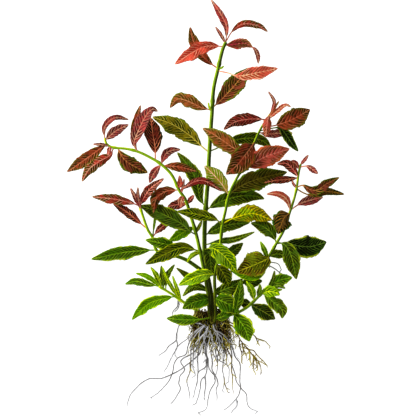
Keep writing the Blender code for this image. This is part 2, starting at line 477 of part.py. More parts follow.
def join_all(obj, collection):
    """Unites the object with every solid of the collection, which then only serve as helpers."""
    for helper in collection.objects:
        helper.hide_render = True
        helper.display_type = "WIRE"
    union = obj.modifiers.new("grown_together", "BOOLEAN")
    union.operation = "UNION"
    union.operand_type = "COLLECTION"
    union.collection = collection
    union.solver = "EXACT"


def build_stem(name):
    foot_radius, tip_radius, points = STEMS[name]
    stations = round(path_length(points) / STEM_STATION_SPACING)
    bm = bmesh.new()
    round_rod(
        bm,
        smooth_path(points, stations),
        lambda share: foot_radius + (tip_radius - foot_radius) * share,
        STEM_SIDES,
    )
    stem = mesh_object(name, bm, "stem")
    young = helpers(name + "_young_leaves")
    for number, (colour, width, roll, fold, stalk, midrib) in enumerate(YOUNG_LEAVES[name], 1):
        add_leaf(
            f"{name}_young_leaf_{number}", name, colour, width, roll, fold, stalk, midrib,
            None, YOUNG_LEAF_STATIONS, young,
        )
    join_all(stem, young)


def build_leaves():
    for name, (stem, colour, width, roll, fold, stalk, midrib) in LEAVES.items():
        add_leaf(name, stem, colour, width, roll, fold, stalk, midrib, STALK_GAP, LEAF_STATIONS)


def build_roots():
    """The clump has a flat underside, where it lies on the surface, and the main roots run out of it."""
    bm = bmesh.new()
    rings = []
    for y, half_width, height in CLUMP_SECTIONS:
        ring = []
        for k in range(CLUMP_ARCH_POINTS):
            angle = math.pi * k / (CLUMP_ARCH_POINTS - 1)
            ring.append((half_width * math.cos(angle), y, height * math.sin(angle) ** 0.8))
        rings.append(ring)
    loft(bm, rings)
    clump = mesh_object("roots", bm, "root")
    main_roots = helpers("main_roots")
    for number, points in enumerate(MAIN_ROOTS, 1):
        stations = round(path_length(points) / ROOT_STATION_SPACING)
        bm = bmesh.new()
        round_rod(
            bm,
            smooth_path(points, stations),
            lambda share: ROOT_RADIUS + (ROOT_TIP_RADIUS - ROOT_RADIUS) * share,
            ROOT_SIDES,
        )
        mesh_object(f"main_root_{number}", bm, "root", main_roots)
    join_all(clump, main_roots)


def main():
    clear_scene()
    for name in STEMS:
        build_stem(name)
    build_leaves()
    build_roots()


main()
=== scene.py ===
"""Dresses the packed sunset hygrophila: veined leaves, ridged stems and tangled roots, lit on a pale floor.

The plant lies along +Y with its crown over the origin. Tables give lengths in millimetres, in the frame's
axes, and a path's points as text: the numbers of each point, and commas between the points.
"""

import math

import bpy
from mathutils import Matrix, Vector


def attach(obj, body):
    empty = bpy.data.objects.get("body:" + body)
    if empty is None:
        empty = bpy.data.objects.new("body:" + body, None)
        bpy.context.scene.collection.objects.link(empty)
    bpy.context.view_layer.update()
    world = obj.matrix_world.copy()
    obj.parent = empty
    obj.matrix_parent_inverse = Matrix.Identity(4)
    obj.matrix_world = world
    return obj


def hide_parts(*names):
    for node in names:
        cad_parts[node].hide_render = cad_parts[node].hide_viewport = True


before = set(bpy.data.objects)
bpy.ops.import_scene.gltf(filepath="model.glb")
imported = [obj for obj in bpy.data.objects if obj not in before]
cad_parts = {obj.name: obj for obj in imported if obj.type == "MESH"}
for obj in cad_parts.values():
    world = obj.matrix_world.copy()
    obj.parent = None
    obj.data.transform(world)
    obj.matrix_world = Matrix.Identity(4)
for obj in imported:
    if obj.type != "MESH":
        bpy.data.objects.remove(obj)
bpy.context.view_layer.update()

bl_info = {
    "name": "Sunset hygrophila",
    "version": (1, 0, 0),
    "blender": (4, 5, 0),
    "location": "3D View > Sidebar > Hygrophila",
    "description": "Builds the leaves, stems and roots of a bare-rooted aquarium stem plant, and its stage",
    "category": "Object",
}

MM = 0.001
BODY = "root"

# Leaf finishes as 0 to 255 colours: near the stalk, at the tip, between the veins as deeper patches and
# painted shade, on the veins with painted highlights, on the rim and on the underside.
FINISHES = {
    "rose": ((156, 61, 57), (131, 63, 63), (73, 28, 28), (211, 167, 131), (92, 34, 37), (170, 120, 101)),
    "rose_olive": ((156, 51, 36), (80, 90, 10), (71, 38, 2), (227, 160, 138), (96, 86, 12), (167, 112, 78)),
    "cream_rose": ((206, 88, 68), (222, 92, 80), (150, 66, 36),
                   (248, 218, 168), (244, 196, 158), (227, 149, 117)),
    "salmon": ((212, 88, 66), (200, 92, 68), (162, 52, 34), (228, 164, 134), (158, 60, 40), (207, 124, 103)),
    "crimson": ((132, 36, 29), (108, 56, 22), (46, 20, 8), (238, 154, 131), (75, 29, 18), (150, 96, 68)),
    "purple": ((163, 68, 59), (216, 170, 106), (81, 44, 3), (195, 56, 87), (194, 68, 91), (242, 171, 133)),
    "maroon": ((114, 45, 30), (22, 27, 2), (32, 12, 4), (218, 135, 96), (34, 39, 2), (121, 88, 41)),
    "umber": ((126, 63, 43), (82, 110, 12), (52, 26, 4), (206, 143, 79), (80, 121, 12), (138, 103, 51)),
    "russet": ((138, 60, 32), (96, 84, 14), (58, 34, 4), (206, 128, 94), (92, 102, 14), (144, 105, 60)),
    "pink_olive": ((150, 82, 40), (112, 106, 24), (84, 54, 8),
                   (202, 136, 98), (110, 130, 16), (156, 118, 58)),
    "pale_pink": ((137, 110, 26), (96, 107, 2), (101, 122, 2), (249, 197, 173), (89, 116, 2), (168, 156, 69)),
    "gold": ((118, 105, 6), (110, 117, 11), (40, 46, 2), (199, 181, 78), (79, 105, 4), (153, 147, 70)),
    "bronze_green": ((88, 80, 12), (86, 106, 14), (46, 40, 4),
                     (136, 126, 46), (112, 152, 22), (132, 140, 60)),
    "autumn": ((137, 163, 12), (176, 133, 2), (71, 89, 9), (250, 223, 2), (133, 144, 2), (189, 184, 2)),
    "brown_green": ((79, 98, 5), (93, 110, 7), (45, 53, 2), (128, 120, 22), (98, 128, 8), (125, 134, 38)),
    "green": ((63, 105, 5), (96, 132, 28), (43, 57, 2), (132, 164, 26), (196, 206, 24), (131, 164, 58)),
    "fresh_green": ((91, 134, 4), (95, 141, 7), (58, 93, 2), (133, 161, 3), (196, 214, 20), (135, 168, 15)),
    "dark_green": ((68, 95, 16), (81, 83, 5), (36, 48, 3), (130, 154, 34), (158, 178, 22), (130, 143, 61)),
    "deep_green": ((42, 68, 15), (62, 64, 17), (20, 30, 3), (140, 150, 46), (176, 190, 34), (132, 133, 77)),
    "pink_blush": ((168, 74, 60), (152, 84, 42), (104, 52, 24),
                   (214, 150, 128), (192, 86, 22), (194, 121, 93)),
    "black_green": ((24, 32, 4), (56, 93, 6), (5, 8, 2), (112, 140, 52), (196, 204, 44), (125, 144, 108)),
    "chocolate": ((99, 72, 33), (40, 66, 5), (22, 24, 3), (176, 123, 44), (49, 107, 8), (118, 117, 44)),
    "lime": ((117, 148, 31), (111, 166, 2), (53, 87, 3), (222, 233, 5), (212, 222, 24), (166, 192, 16)),
    "amber_olive": ((92, 102, 12), (128, 86, 24), (46, 50, 4),
                    (190, 190, 34), (136, 158, 24), (124, 132, 20)),
    "yellow_veined": ((93, 97, 11), (44, 79, 5), (28, 40, 4), (158, 172, 12), (184, 184, 16), (115, 140, 8)),
}

# A stem's 0 to 255 colours: painted sunlight, its own green, painted shade in its grooves and away from the
# light, and where it is old.
STEM_COLOURS = ((214, 224, 20), (112, 144, 8), (54, 70, 3), (50, 46, 10))
# Root finishes as 0 to 255 colours: the skin, its darker spots and its lighter spots.
ROOT_FINISHES = {
    "clump_roots": ((78, 56, 20), (36, 20, 8), (146, 138, 50)),
    "pale_threads": ((150, 150, 150), (110, 108, 104), (182, 182, 182)),
    "long_roots": ((132, 131, 131), (98, 96, 94), (166, 166, 168)),
    "olive_twigs": ((128, 112, 26), (76, 56, 14), (168, 156, 62)),
}

# Each stem: its radius at the foot and at the tip, the painted light added to it at each, the shares of its
# length where leaves leave it, and its points.
STEMS = {
    "main_stem": (2.2, 1.65, 0.0, 0.15, (0.42, 0.555, 0.67, 0.79, 0.92),
        "0 -6 9, 0 4.3 12, -1 22 13.5, -4 39 15, -7 54 16.5, -8.5 70 18.5, -8.2 98 23, -6.4 125 26, "
        "-5 143 28, -3.7 169.5 30, -1 210 31, 0.6 233 31, 5 253 30, 9.5 272 29, 12.8 280 29"),
    "left_branch": (1.9, 1.1, 0.1, 0.55, (0.33, 0.43, 0.62, 0.74, 0.86, 0.94),
        "-1 -6 8, -2.6 4.2 12.5, -3.9 15 16.5, -4.8 27 19, -6.5 38 20.8, -9.1 52 23, -12.5 68.8 27, "
        "-17 88.4 31.5, -21.4 103.6 34, -27.6 122.4 36, -33.4 131.1 37, -41.4 147.2 37, -52.1 157.9 36, "
        "-63.7 165 34, -75.3 170.4 32, -86 173.1 30, -101.2 174.9 27, -106.6 178.4 26, -108.4 183.8 26"),
    "low_left_branch": (1.9, 1.1, 0.05, 0.7, (0.4, 0.62, 0.96),
        "-7 49.5 16, -10.6 51 14, -26 61.5 14, -37.5 66 15.5, -56 71 18, -60.3 84 20.5, -65.5 92.7 22.5, "
        "-73.5 116 26"),
    "centre_branch": (1.6, 1.0, 0.4, 0.1, (0.42, 0.57, 0.72, 0.84),
        "0.5 -5 10, 2.6 4.2 15, 2.4 22 19.5, 1.6 40 22, 2 50 24, 5 64 28, 7.2 76 31, 9.2 96.5 36, "
        "12.2 110 39, 15.5 125.7 42, 19.5 135.6 44, 25.8 147.2 45, 30.2 153.4 45, 41.8 180.4 42, "
        "48 193.8 39.5, 57 207.6 36"),
    "right_branch": (1.7, 1.0, -0.1, 0.5, (0.45, 0.53, 0.7, 0.86),
        "2 -4 7, 4.6 4.6 7.5, 11 17 8.5, 21 30 10.5, 35 44 13, 47 56 17, 54.9 64.3 20, 62.9 77.7 23, "
        "70.9 92 26, 76.3 108.1 28, 81.1 123.2 29, 83.8 134.9 29, 85.6 148.2 28, 87.8 158.1 27"),
    "low_right_branch": (1.6, 1.1, 0.4, 0.5, (0.35, 0.65, 0.8),
        "3 0 10, 7.5 4.9 12.5, 12 5.6 14.5, 24 9 17.5, 34 14.5 20.5, 41 20.7 22, 47.4 27 22.5, 57.5 36 25"),
    "low_left_shoot": (1.6, 1.1, 0.8, 0.7, (0.45, 0.6, 0.95),
        "-2 0 7, -5.5 4.9 8, -22 14.5 8.5, -31 20.5 10.5, -42 28 13, -54.4 35.7 15"),
}

# Each full leaf, by the stem that it grows from: its name, its finish, how light it is, its width, the roll
# and fold of its blade in degrees, the share of its length that is stalk, and the points of its midrib.
LEAVES = {
    "main_stem": [
        ("top_spear", "rose", 1.14, 8.5, 15, 14, 0.12, "13 283 31, 13.5 295 32, 7 309 33, -2 322.5 31"),
        ("top_arched", "rose_olive", 1.15, 8.5, -10, -12, 0.2,
         "14.5 281 28, 19.5 291 27.5, 30 298 28, 45 296.5 21, 55 291 9"),
        ("top_purple", "purple", 0.91, 11.5, -10, 8, 0.08, "13 276 27, 22 278 26, 32 279 22, 39.5 275 17"),
        ("top_coral", "salmon", 0.93, 15, 14, 10, 0.1, "8.6 276 32, -8 275.5 36, -23 268 35, -38.3 257.7 28"),
        ("top_olive", "russet", 0.89, 13, -12, 8, 0.14,
         "2.5 254 27, -4 260 23, -12 268 18, -20 282 9, -23.1 296 1"),
        ("top_rose", "cream_rose", 0.94, 14.5, -12, 10, 0.3,
         "6.5 251 32, 15 249 34, 24 246 36, 43 249 37, 64.9 253.7 31"),
        ("top_umber", "umber", 1.22, 20, 8, 8, 0.1, "1.5 214 28, 9 223 25, 20 235 19, 30 247 12, 36.3 255 6"),
        ("top_drooping", "pink_olive", 0.86, 15, 10, -12, 0.1,
         "-3.5 212 32, -13 215 34, -23 220 33, -35 223 27, -43.2 214.4 16"),
        ("gold", "gold", 0.97, 20, 8, 8, 0.16,
         "-6 170 27, -11 175.5 26, -23 186.5 24, -41 198 17, -61 205.5 6"),
        ("green_behind", "dark_green", 1.05, 13, 0, 6, 0.25,
         "-1.5 171 28, 3.4 173.5 28, 14 179 27, 24 182.5 25, 38 184 21, 50 181 15, 60 172 8"),
        ("green_upright", "dark_green", 1.2, 15, -8, 8, 0.1,
         "-9 115 22, -13.5 125 17, -17 142 16, -27 159 10, -36 170 4"),
        ("green_right", "dark_green", 0.9, 17.5, -8, 6, 0.08,
         "-5 111.5 25, 9 121 28, 27 126 28, 42 126 23, 51.6 123 16"),
        ("dark_middle", "dark_green", 1.03, 14, -6, 6, 0.08,
         "-6 86 22, 2 92 25, 14 97 26.5, 26 98.5 24, 37 99.5 20"),
        ("lime_middle", "lime", 0.75, 19.5, -8, 8, 0.18,
         "-6 72 23, -1 74 30, 5 71 34.5, 14 63.4 37, 23.6 50 33"),
    ],
    "left_branch": [
        ("maroon_left", "maroon", 1.17, 19, -10, 10, 0.16,
         "-56 164 36, -58 174 35, -60.1 187.4 31, -62.8 205.2 23"),
        ("pink_folded", "rose", 1.03, 14.5, 8, 10, 0.12,
         "-76 172 34, -79 178 37, -75 190 41, -67 206 43, -60.5 212.5 41, -55 210.5 37"),
        ("umber_left", "umber", 0.99, 17, -8, 8, 0.06,
         "-95.5 171.8 27, -90 164 27, -82 157.5 23, -65.5 149.4 14"),
        ("rose_left", "rose_olive", 0.98, 13, 8, -10, 0.08,
         "-99.5 172 27, -103 167 28, -114 160.5 27, -123.5 153.4 21, -131.6 140.5 9"),
        ("far_left", "russet", 0.98, 14, 8, 8, 0.06,
         "-107.5 175.5 27, -115 172 27, -127 163.5 21, -146.7 150.3 2"),
        ("olive_hooked", "russet", 0.79, 14, 6, -14, 0.08,
         "-36 131.5 36, -47 130.5 34, -56.5 123.5 32, -59.7 108.8 26"),
        ("dark_left", "dark_green", 0.66, 19.5, 6, 8, 0.12,
         "-18 86.5 31, -22.5 90.5 36, -31 98 31, -48.4 107 24, -63 113 16, -74 116.5 10"),
        ("green_left", "fresh_green", 0.87, 11.5, 6, 8, 0.05, "-20.5 95 30, -29 90 22, -45 80 15"),
        ("brown_left", "yellow_veined", 0.92, 15.5, 8, 8, 0.1,
         "-15 70.5 27, -30 74.5 31, -48 68 30, -67.8 57.6 21"),
        ("front_left", "green", 0.88, 17, 8, 6, 0.03, "-4.5 23 20, -8 22.5 25, -20 19.5 27, -30.5 13 22"),
    ],
    "low_left_branch": [
        ("low_left_long", "green", 0.82, 15, 8, 8, 0.1,
         "-58 71.5 17, -68 71.5 16, -90 69.5 12, -122.7 62.5 1.5"),
        ("low_left_short", "green", 1.1, 13, 0, 8, 0.12,
         "-40 68.5 17, -43.5 76 22, -55 79.5 26, -67.8 82.2 27"),
        ("red_far", "rose_olive", 0.84, 11, 10, 10, 0.12,
         "-75.5 117 27, -82 119.3 29, -99.4 123.1 29, -121.3 125.3 21"),
        ("maroon_far", "maroon", 0.93, 9.5, 0, 8, 0.2,
         "-66 93 22, -73 99 18.5, -86 109.7 17, -100.3 118.6 9"),
        ("pink_upright", "crimson", 1.19, 10.5, -8, 10, 0.06, "-73 117 28, -63.7 132.5 35, -49 143.6 39"),
    ],
    "centre_branch": [
        ("olive_rose", "pink_olive", 0.92, 19, 6, 8, 0.12,
         "37 172 43, 23 173 41, 12 180 40, 0 188 38.5, -10.4 193.8 36"),
        ("umber_broad", "russet", 0.85, 24.5, 10, 6, 0.08,
         "40 181 45, 35 171 51, 24.5 157.5 52.5, 13 147.4 50"),
        ("pink_broad", "pink_blush", 1, 22.5, -8, 8, 0.1,
         "32 152 46, 40 158.5 46, 54 166 45.5, 76.6 173.2 40"),
        ("amber_green", "bronze_green", 0.94, 21.5, -8, 6, 0.06,
         "18 128 40, 23 133 37, 35 139.5 33.5, 54 145.5 28, 74.5 150 21"),
        ("pale_pink", "pale_pink", 0.98, 18, 8, 8, 0.1, "13.5 128 42, 9 137.5 41, 0 148 38.5, -8.6 156.1 36"),
        ("crimson_left", "crimson", 0.73, 13.5, 10, -8, 0.1,
         "51 204 38, 42 203 40, 34 202.5 39, 22 200 34, 10.6 192.4 26"),
        ("red_hanging", "pink_blush", 1.05, 10, 0, -12, 0.05,
         "54.5 208 40, 54.5 201 44, 53.5 193 44.5, 52.5 184.5 42"),
        ("olive_broad", "russet", 0.95, 22, -8, 8, 0.28,
         "50 195 37, 56 195.5 36, 64 197 37, 79 202.5 38, 97.2 212.5 31"),
        ("olive_left", "yellow_veined", 0.81, 12.5, 8, -6, 0.16,
         "7 97 37, 3 102.5 40, -17 108 41, -36 110.7 37.5"),
        ("amber_right", "autumn", 1.01, 18.5, -8, -8, 0.2,
         "11 98 36, 20 103.6 36, 39 108.5 33, 59.3 101.8 25"),
        ("olive_dark_inner", "yellow_veined", 0.62, 16.5, -10, 6, 0.06, "5 58 25, 11 47.5 26, 16 35.5 24"),
        ("dark_inner_right", "dark_green", 0.96, 11.5, -10, 8, 0.08, "8.5 67 27, 18 70 24, 30.3 79 18"),
        ("lime_left", "lime", 1.16, 14.5, 8, 8, 0.05, "0 47.5 27, -9 47.5 30, -20 44 30, -34.6 36.6 26"),
        ("front_right", "green", 0.85, 19.5, -8, 6, 0.03, "3 23.5 22, 9 21 27, 17 16.5 27.5, 26 8.5 24"),
    ],
    "right_branch": [
        ("right_arched", "dark_green", 0.81, 14.5, 0, -8, 0.1,
         "62 79.5 25, 59 88.5 25, 50 95.5 22, 38 99 14"),
        ("right_long", "black_green", 1.1, 23.5, -6, 8, 0.2,
         "65 78 21, 74.5 79 19, 86 76 17, 99 75.5 12, 114.2 80 1.5"),
        ("right_hanging", "dark_green", 0.92, 18, -8, 8, 0.12,
         "65 79.5 25, 73 76 30, 79 63.4 31, 83.4 42.4 25"),
        ("oval", "amber_olive", 1.1, 26.5, 4, -6, 0.04, "57.5 64 23, 53 62.5 28, 41 57 31, 23.5 50 28"),
        ("round_dark", "chocolate", 1, 22, 6, -8, 0.05, "75.5 109.5 30, 71 104 34, 64.7 88 32"),
        ("right_bent", "umber", 0.87, 11, -8, 10, 0.14,
         "85 135 31, 90 136.6 32, 97 132.5 32, 104 132 31.5, 113 138 30, 126.6 144.7 24"),
    ],
    "low_right_branch": [
        ("low_right_hanging", "green", 1.46, 20.5, -6, 6, 0.04, "20 7.5 19, 26 2 20, 32 -7 17, 36.6 -20 9"),
        ("low_right_dark", "deep_green", 1.16, 16.5, 0, 6, 0.05, "38.5 16.5 20, 49 11 17, 62.5 2.5 9"),
    ],
    "low_left_shoot": [
        ("low_left_big", "fresh_green", 1.13, 13.5, 8, 10, 0.08,
         "-38 25 12, -46 24 16, -63 19 12, -75 9 5.5, -81.5 1.5 1.5"),
    ],
}

# The young and narrow leaves of each stem, as above but without names.
YOUNG_LEAVES = {
    "main_stem": [
        ("rose", 1.5, 5.5, 10, 10, 0.1, "38 276.5 18, 42.5 272.5 14, 45 266 8, 45.6 259 3"),
        ("rose", 1.1, 4.2, 0, 12, 0.05, "12 279 29, 8 287 33, 2.4 295.2 36"),
        ("lime", 1, 2.4, 0, 10, 0.05, "-1 211 31, -3.5 214 33.5, -4.6 219.5 35"),
        ("green", 1, 2.4, 0, 10, 0.05, "5 253 30, 8.5 254 32, 10.8 256 33"),
        ("dark_green", 1.04, 7, -12, 8, 0.12, "-8 77 20, 0.4 79 26, 8 81 28, 22.7 83.1 29.5, 42 90.2 29"),
        ("dark_green", 0.6, 13, 0, 6, 0.06, "-8 71 20, -4 69 25, -2.5 60 25.5, -1 45.5 23"),
        ("dark_green", 1.25, 8.5, 0, -8, 0.08, "-2.5 30 14, -13 34.5 18.5, -21 34.5 19, -30.5 25.5 16.5"),
        ("brown_green", 1.06, 7.5, 0, 8, 0.1, "-5 42 15, -13 41 10, -24 45 8, -37 54 6"),
        ("green", 0.94, 12.5, 4, 8, 0.3, "-0.5 5 12, -12 2.5 18, -22 2 18, -34 2.2 14, -46.8 3.4 8"),
        ("dark_green", 1.24, 13, 0, 6, 0.08, "-1.5 27 14, 9 31.5 18.5, 20 36 18.5, 30 43 17.5"),
    ],
    "left_branch": [
        ("rose", 0.8, 9, -10, 10, 0.08, "-52 158 36, -47 168.5 40, -40 172 41, -32.5 172.2 40"),
        ("russet", 0.91, 10.5, -6, 10, 0.08, "-50 156 36.5, -35 155.3 39, -16.4 150.7 35"),
        ("rose", 0.95, 8.5, 0, 8, 0.08, "-52.5 157 36, -59 149 31, -63.7 139.1 25"),
        ("russet", 0.92, 9, 0, 8, 0.08, "-76 170.5 31.5, -79 181 29, -77 200 26, -72.6 217.3 18"),
        ("rose", 0.84, 7, 10, 10, 0.1,
         "-108.3 183 26, -109 193 29, -104.8 200 31, -97.6 204.5 30, -84.2 202.5 25"),
        ("rose", 0.81, 11, 0, 10, 0.06, "-107.5 182 26.5, -97.6 190.8 31, -84.2 197.5 33"),
        ("rose", 1, 4, 0, 10, 0.05, "-104 176.5 27, -112 177.5 31, -120 177.8 32"),
        ("rose", 1.32, 5, 0, 8, 0.05, "-103 176 27, -104 171 31.5, -105 166.5 33"),
        ("salmon", 0.6, 6, 0, 12, 0.05, "-34.8 134 37, -32.8 138 41, -33.4 146.5 43"),
        ("rose", 1, 3, 0, 10, 0.05, "-31.8 129 37, -29.6 137 41, -28.8 143 42"),
        ("crimson", 0.74, 8, 6, -10, 0.08,
         "-33.4 131.1 37, -26 136 42, -18 140.3 45, -11 141.5 47, -2 138 47.5, 8.8 130.7 46"),
        ("cream_rose", 0.63, 7, 0, 12, 0.05, "-30 126.5 37, -32 121 42, -32 114 42.5"),
        ("crimson", 0.6, 10, 0, 6, 0.06, "-26 118.5 35.5, -35 117.5 31.5, -45.5 115.5 27"),
        ("crimson", 1.24, 5.5, 0, 8, 0.06, "-25.5 118 35.5, -22.5 122.5 34, -19 127 33"),
        ("brown_green", 1, 4, 0, 8, 0.06, "-17 89 31.5, -14 95 32, -11 101.5 32"),
        ("lime", 0.87, 5.5, 0, -8, 0.08, "-12.5 68.5 27, -17.5 68.5 35, -22 65.5 36.5, -26 60 36"),
    ],
    "low_left_branch": [
        ("rose", 1.27, 5.5, 0, 10, 0.05, "-73.3 115.5 26, -78 125 32, -82.5 134 35"),
        ("rose", 0.88, 5, 0, 10, 0.05, "-72 112 25.5, -75 124 33, -75 135 36"),
        ("green", 1, 3, 0, 8, 0.3, "-60.5 84.5 20.5, -59 97 14, -57.5 109 8"),
        ("crimson", 1.29, 8, 0, 6, 0.2, "-60.5 85 20.5, -53 93.5 14, -42 102 8"),
    ],
    "centre_branch": [
        ("rose", 1, 4, 0, 10, 0.1, "56.8 207.3 36, 59.8 214 38, 61 221 40, 55.2 230.4 41"),
        ("pink_olive", 1.05, 3, 0, 10, 0.1, "54.6 203.8 36.8, 61.5 214 37.5, 65.9 220.8 39"),
        ("cream_rose", 0.85, 5.2, 0, 8, 0.1, "52.6 200.6 37.6, 67 213.5 36, 73 217 36, 78 215 34"),
        ("rose", 1.19, 9, 0, 6, 0.1, "46 189.5 40, 56 188 31, 68 189 26, 80 189 21"),
        ("black_green", 1.17, 10.5, -6, -8, 0.36,
         "46.5 190.5 40, 58 193.5 32.5, 67 194 32, 72.5 188 31.5, 79 178.5 28, 85.5 170.5 23"),
        ("green", 0.72, 11, 0, 6, 0.06, "22 9 24, 25 20 30, 27 32 31.5, 28 42.5 29"),
        ("green", 0.7, 9.5, 4, 6, 0.05, "2.5 1.5 18, 9 5 23, 16 9 24, 25 13.5 22"),
    ],
    "right_branch": [
        ("rose", 1, 4, 0, 10, 0.05, "87.6 157 27, 91.5 162 30, 95.4 167.2 31"),
        ("rose", 1.5, 6.5, 0, 10, 0.3, "87.1 154.6 27, 94.5 155.6 29, 105.2 148.2 26"),
        ("rose", 1.42, 5.5, 0, 10, 0.05, "86.7 152.7 27, 81.5 159.5 28, 76 159.5 26"),
        ("crimson", 1.35, 10, 0, -8, 0.06, "85.3 145 28.3, 80 152.5 32, 73 158.5 34, 64 158 33"),
        ("maroon", 0.9, 8, 0, 8, 0.06, "85.2 144 28.3, 73 142.5 33, 62 141.5 35.5, 51.2 139.3 36"),
        ("crimson", 1, 3, 0, 8, 0.06, "83.6 134 29, 80.5 138 30.5, 78.8 142 31"),
        ("chocolate", 1.1, 8, 0, 8, 0.25, "83.6 133 29, 92 128.5 26, 100 127 25, 114 130.5 24, 132 127.7 15"),
        ("rose", 1.19, 10.5, 0, 8, 0.25, "77.3 112 28, 87.4 118.5 23.5, 98 122 19, 110.6 125 12"),
        ("cream_rose", 0.6, 7.5, 0, -8, 0.1,
         "76.8 110.5 28, 75 120.5 32, 69.5 126.3 33, 61 128.5 32.5, 53.4 127.7 30"),
        ("dark_green", 1.42, 10, 0, 6, 0.08, "55.5 65.5 20, 64 68 15, 73.5 66 9"),
        ("green", 1.47, 6, 0, 10, 0.06, "54.5 64 20, 51 73 26, 47.3 80.6 28"),
        ("dark_green", 0.78, 11, 0, 6, 0.06, "30 38 15, 39 39.5 18, 49.5 41 16"),
        ("fresh_green", 1.16, 10, 0, 6, 0.06, "56 58 21, 46 47.5 23, 34 46 25, 17 52 26"),
    ],
    "low_right_branch": [
        ("lime", 0.96, 8, 0, 10, 0.1, "41 20.7 22, 39 31 26.5, 33.3 41.1 27"),
        ("deep_green", 0.6, 9.5, 0, 6, 0.06, "42 15.5 20, 34.5 18.5 19, 25 20.5 17"),
        ("dark_green", 1.48, 14, 0, 6, 0.06, "50 29.5 23, 60 20 21.5, 69 12 18, 69.5 3 11"),
        ("lime", 1.1, 13, 0, 10, 0.05, "48.3 27.9 22.7, 54.5 30.3 26.5, 60.5 30 28.5, 67 27 28.5"),
        ("dark_green", 1.42, 5.5, 0, 8, 0.05, "45 24.6 22.4, 47 33.5 27, 46.8 38 29"),
        ("green", 1.42, 13.5, 0, 8, 0.05, "56.5 35 25, 66 41.5 26, 79.5 44.5 22"),
        ("dark_green", 0.68, 5, 0, 8, 0.05, "54.9 33.5 24.8, 60 42 31, 61.6 51.5 33"),
        ("dark_green", 1.16, 6, 0, 8, 0.05, "53.2 32 24.3, 65 36.5 30, 72.5 33.5 29.5"),
        ("lime", 1.22, 5, 0, 8, 0.05, "51.6 30.6 24, 62 31.5 22, 69.5 32.5 22.5"),
    ],
    "low_left_shoot": [
        ("green", 1.01, 8.5, 0, 8, 0.12, "-54 35.5 15, -66 38 16, -78 40.5 14, -88.4 37.5 8"),
        ("fresh_green", 1.21, 6, 0, 10, 0.1, "-52.5 34.5 14.8, -65 45 19, -77.6 48.7 18"),
        ("lime", 0.89, 6, 0, 10, 0.1, "-51 33.6 14.5, -57 47 21, -62.5 55 22"),
        ("dark_green", 0.93, 6, 0, 8, 0.1, "-49.3 32.6 14.2, -51 47 20, -51.7 56.5 21"),
        ("dark_green", 1.39, 6, 0, 8, 0.15, "-47.5 31.5 13.8, -46 46 17, -38.4 57.6 15"),
        ("lime", 0.95, 4.5, 0, 10, 0.08, "-33 22 11, -44.5 40 22, -50.9 55.4 26"),
        ("lime", 1, 4.5, 0, 10, 0.08, "-32 21.2 10.7, -36.5 34 20, -40.6 46.5 22"),
    ],
}

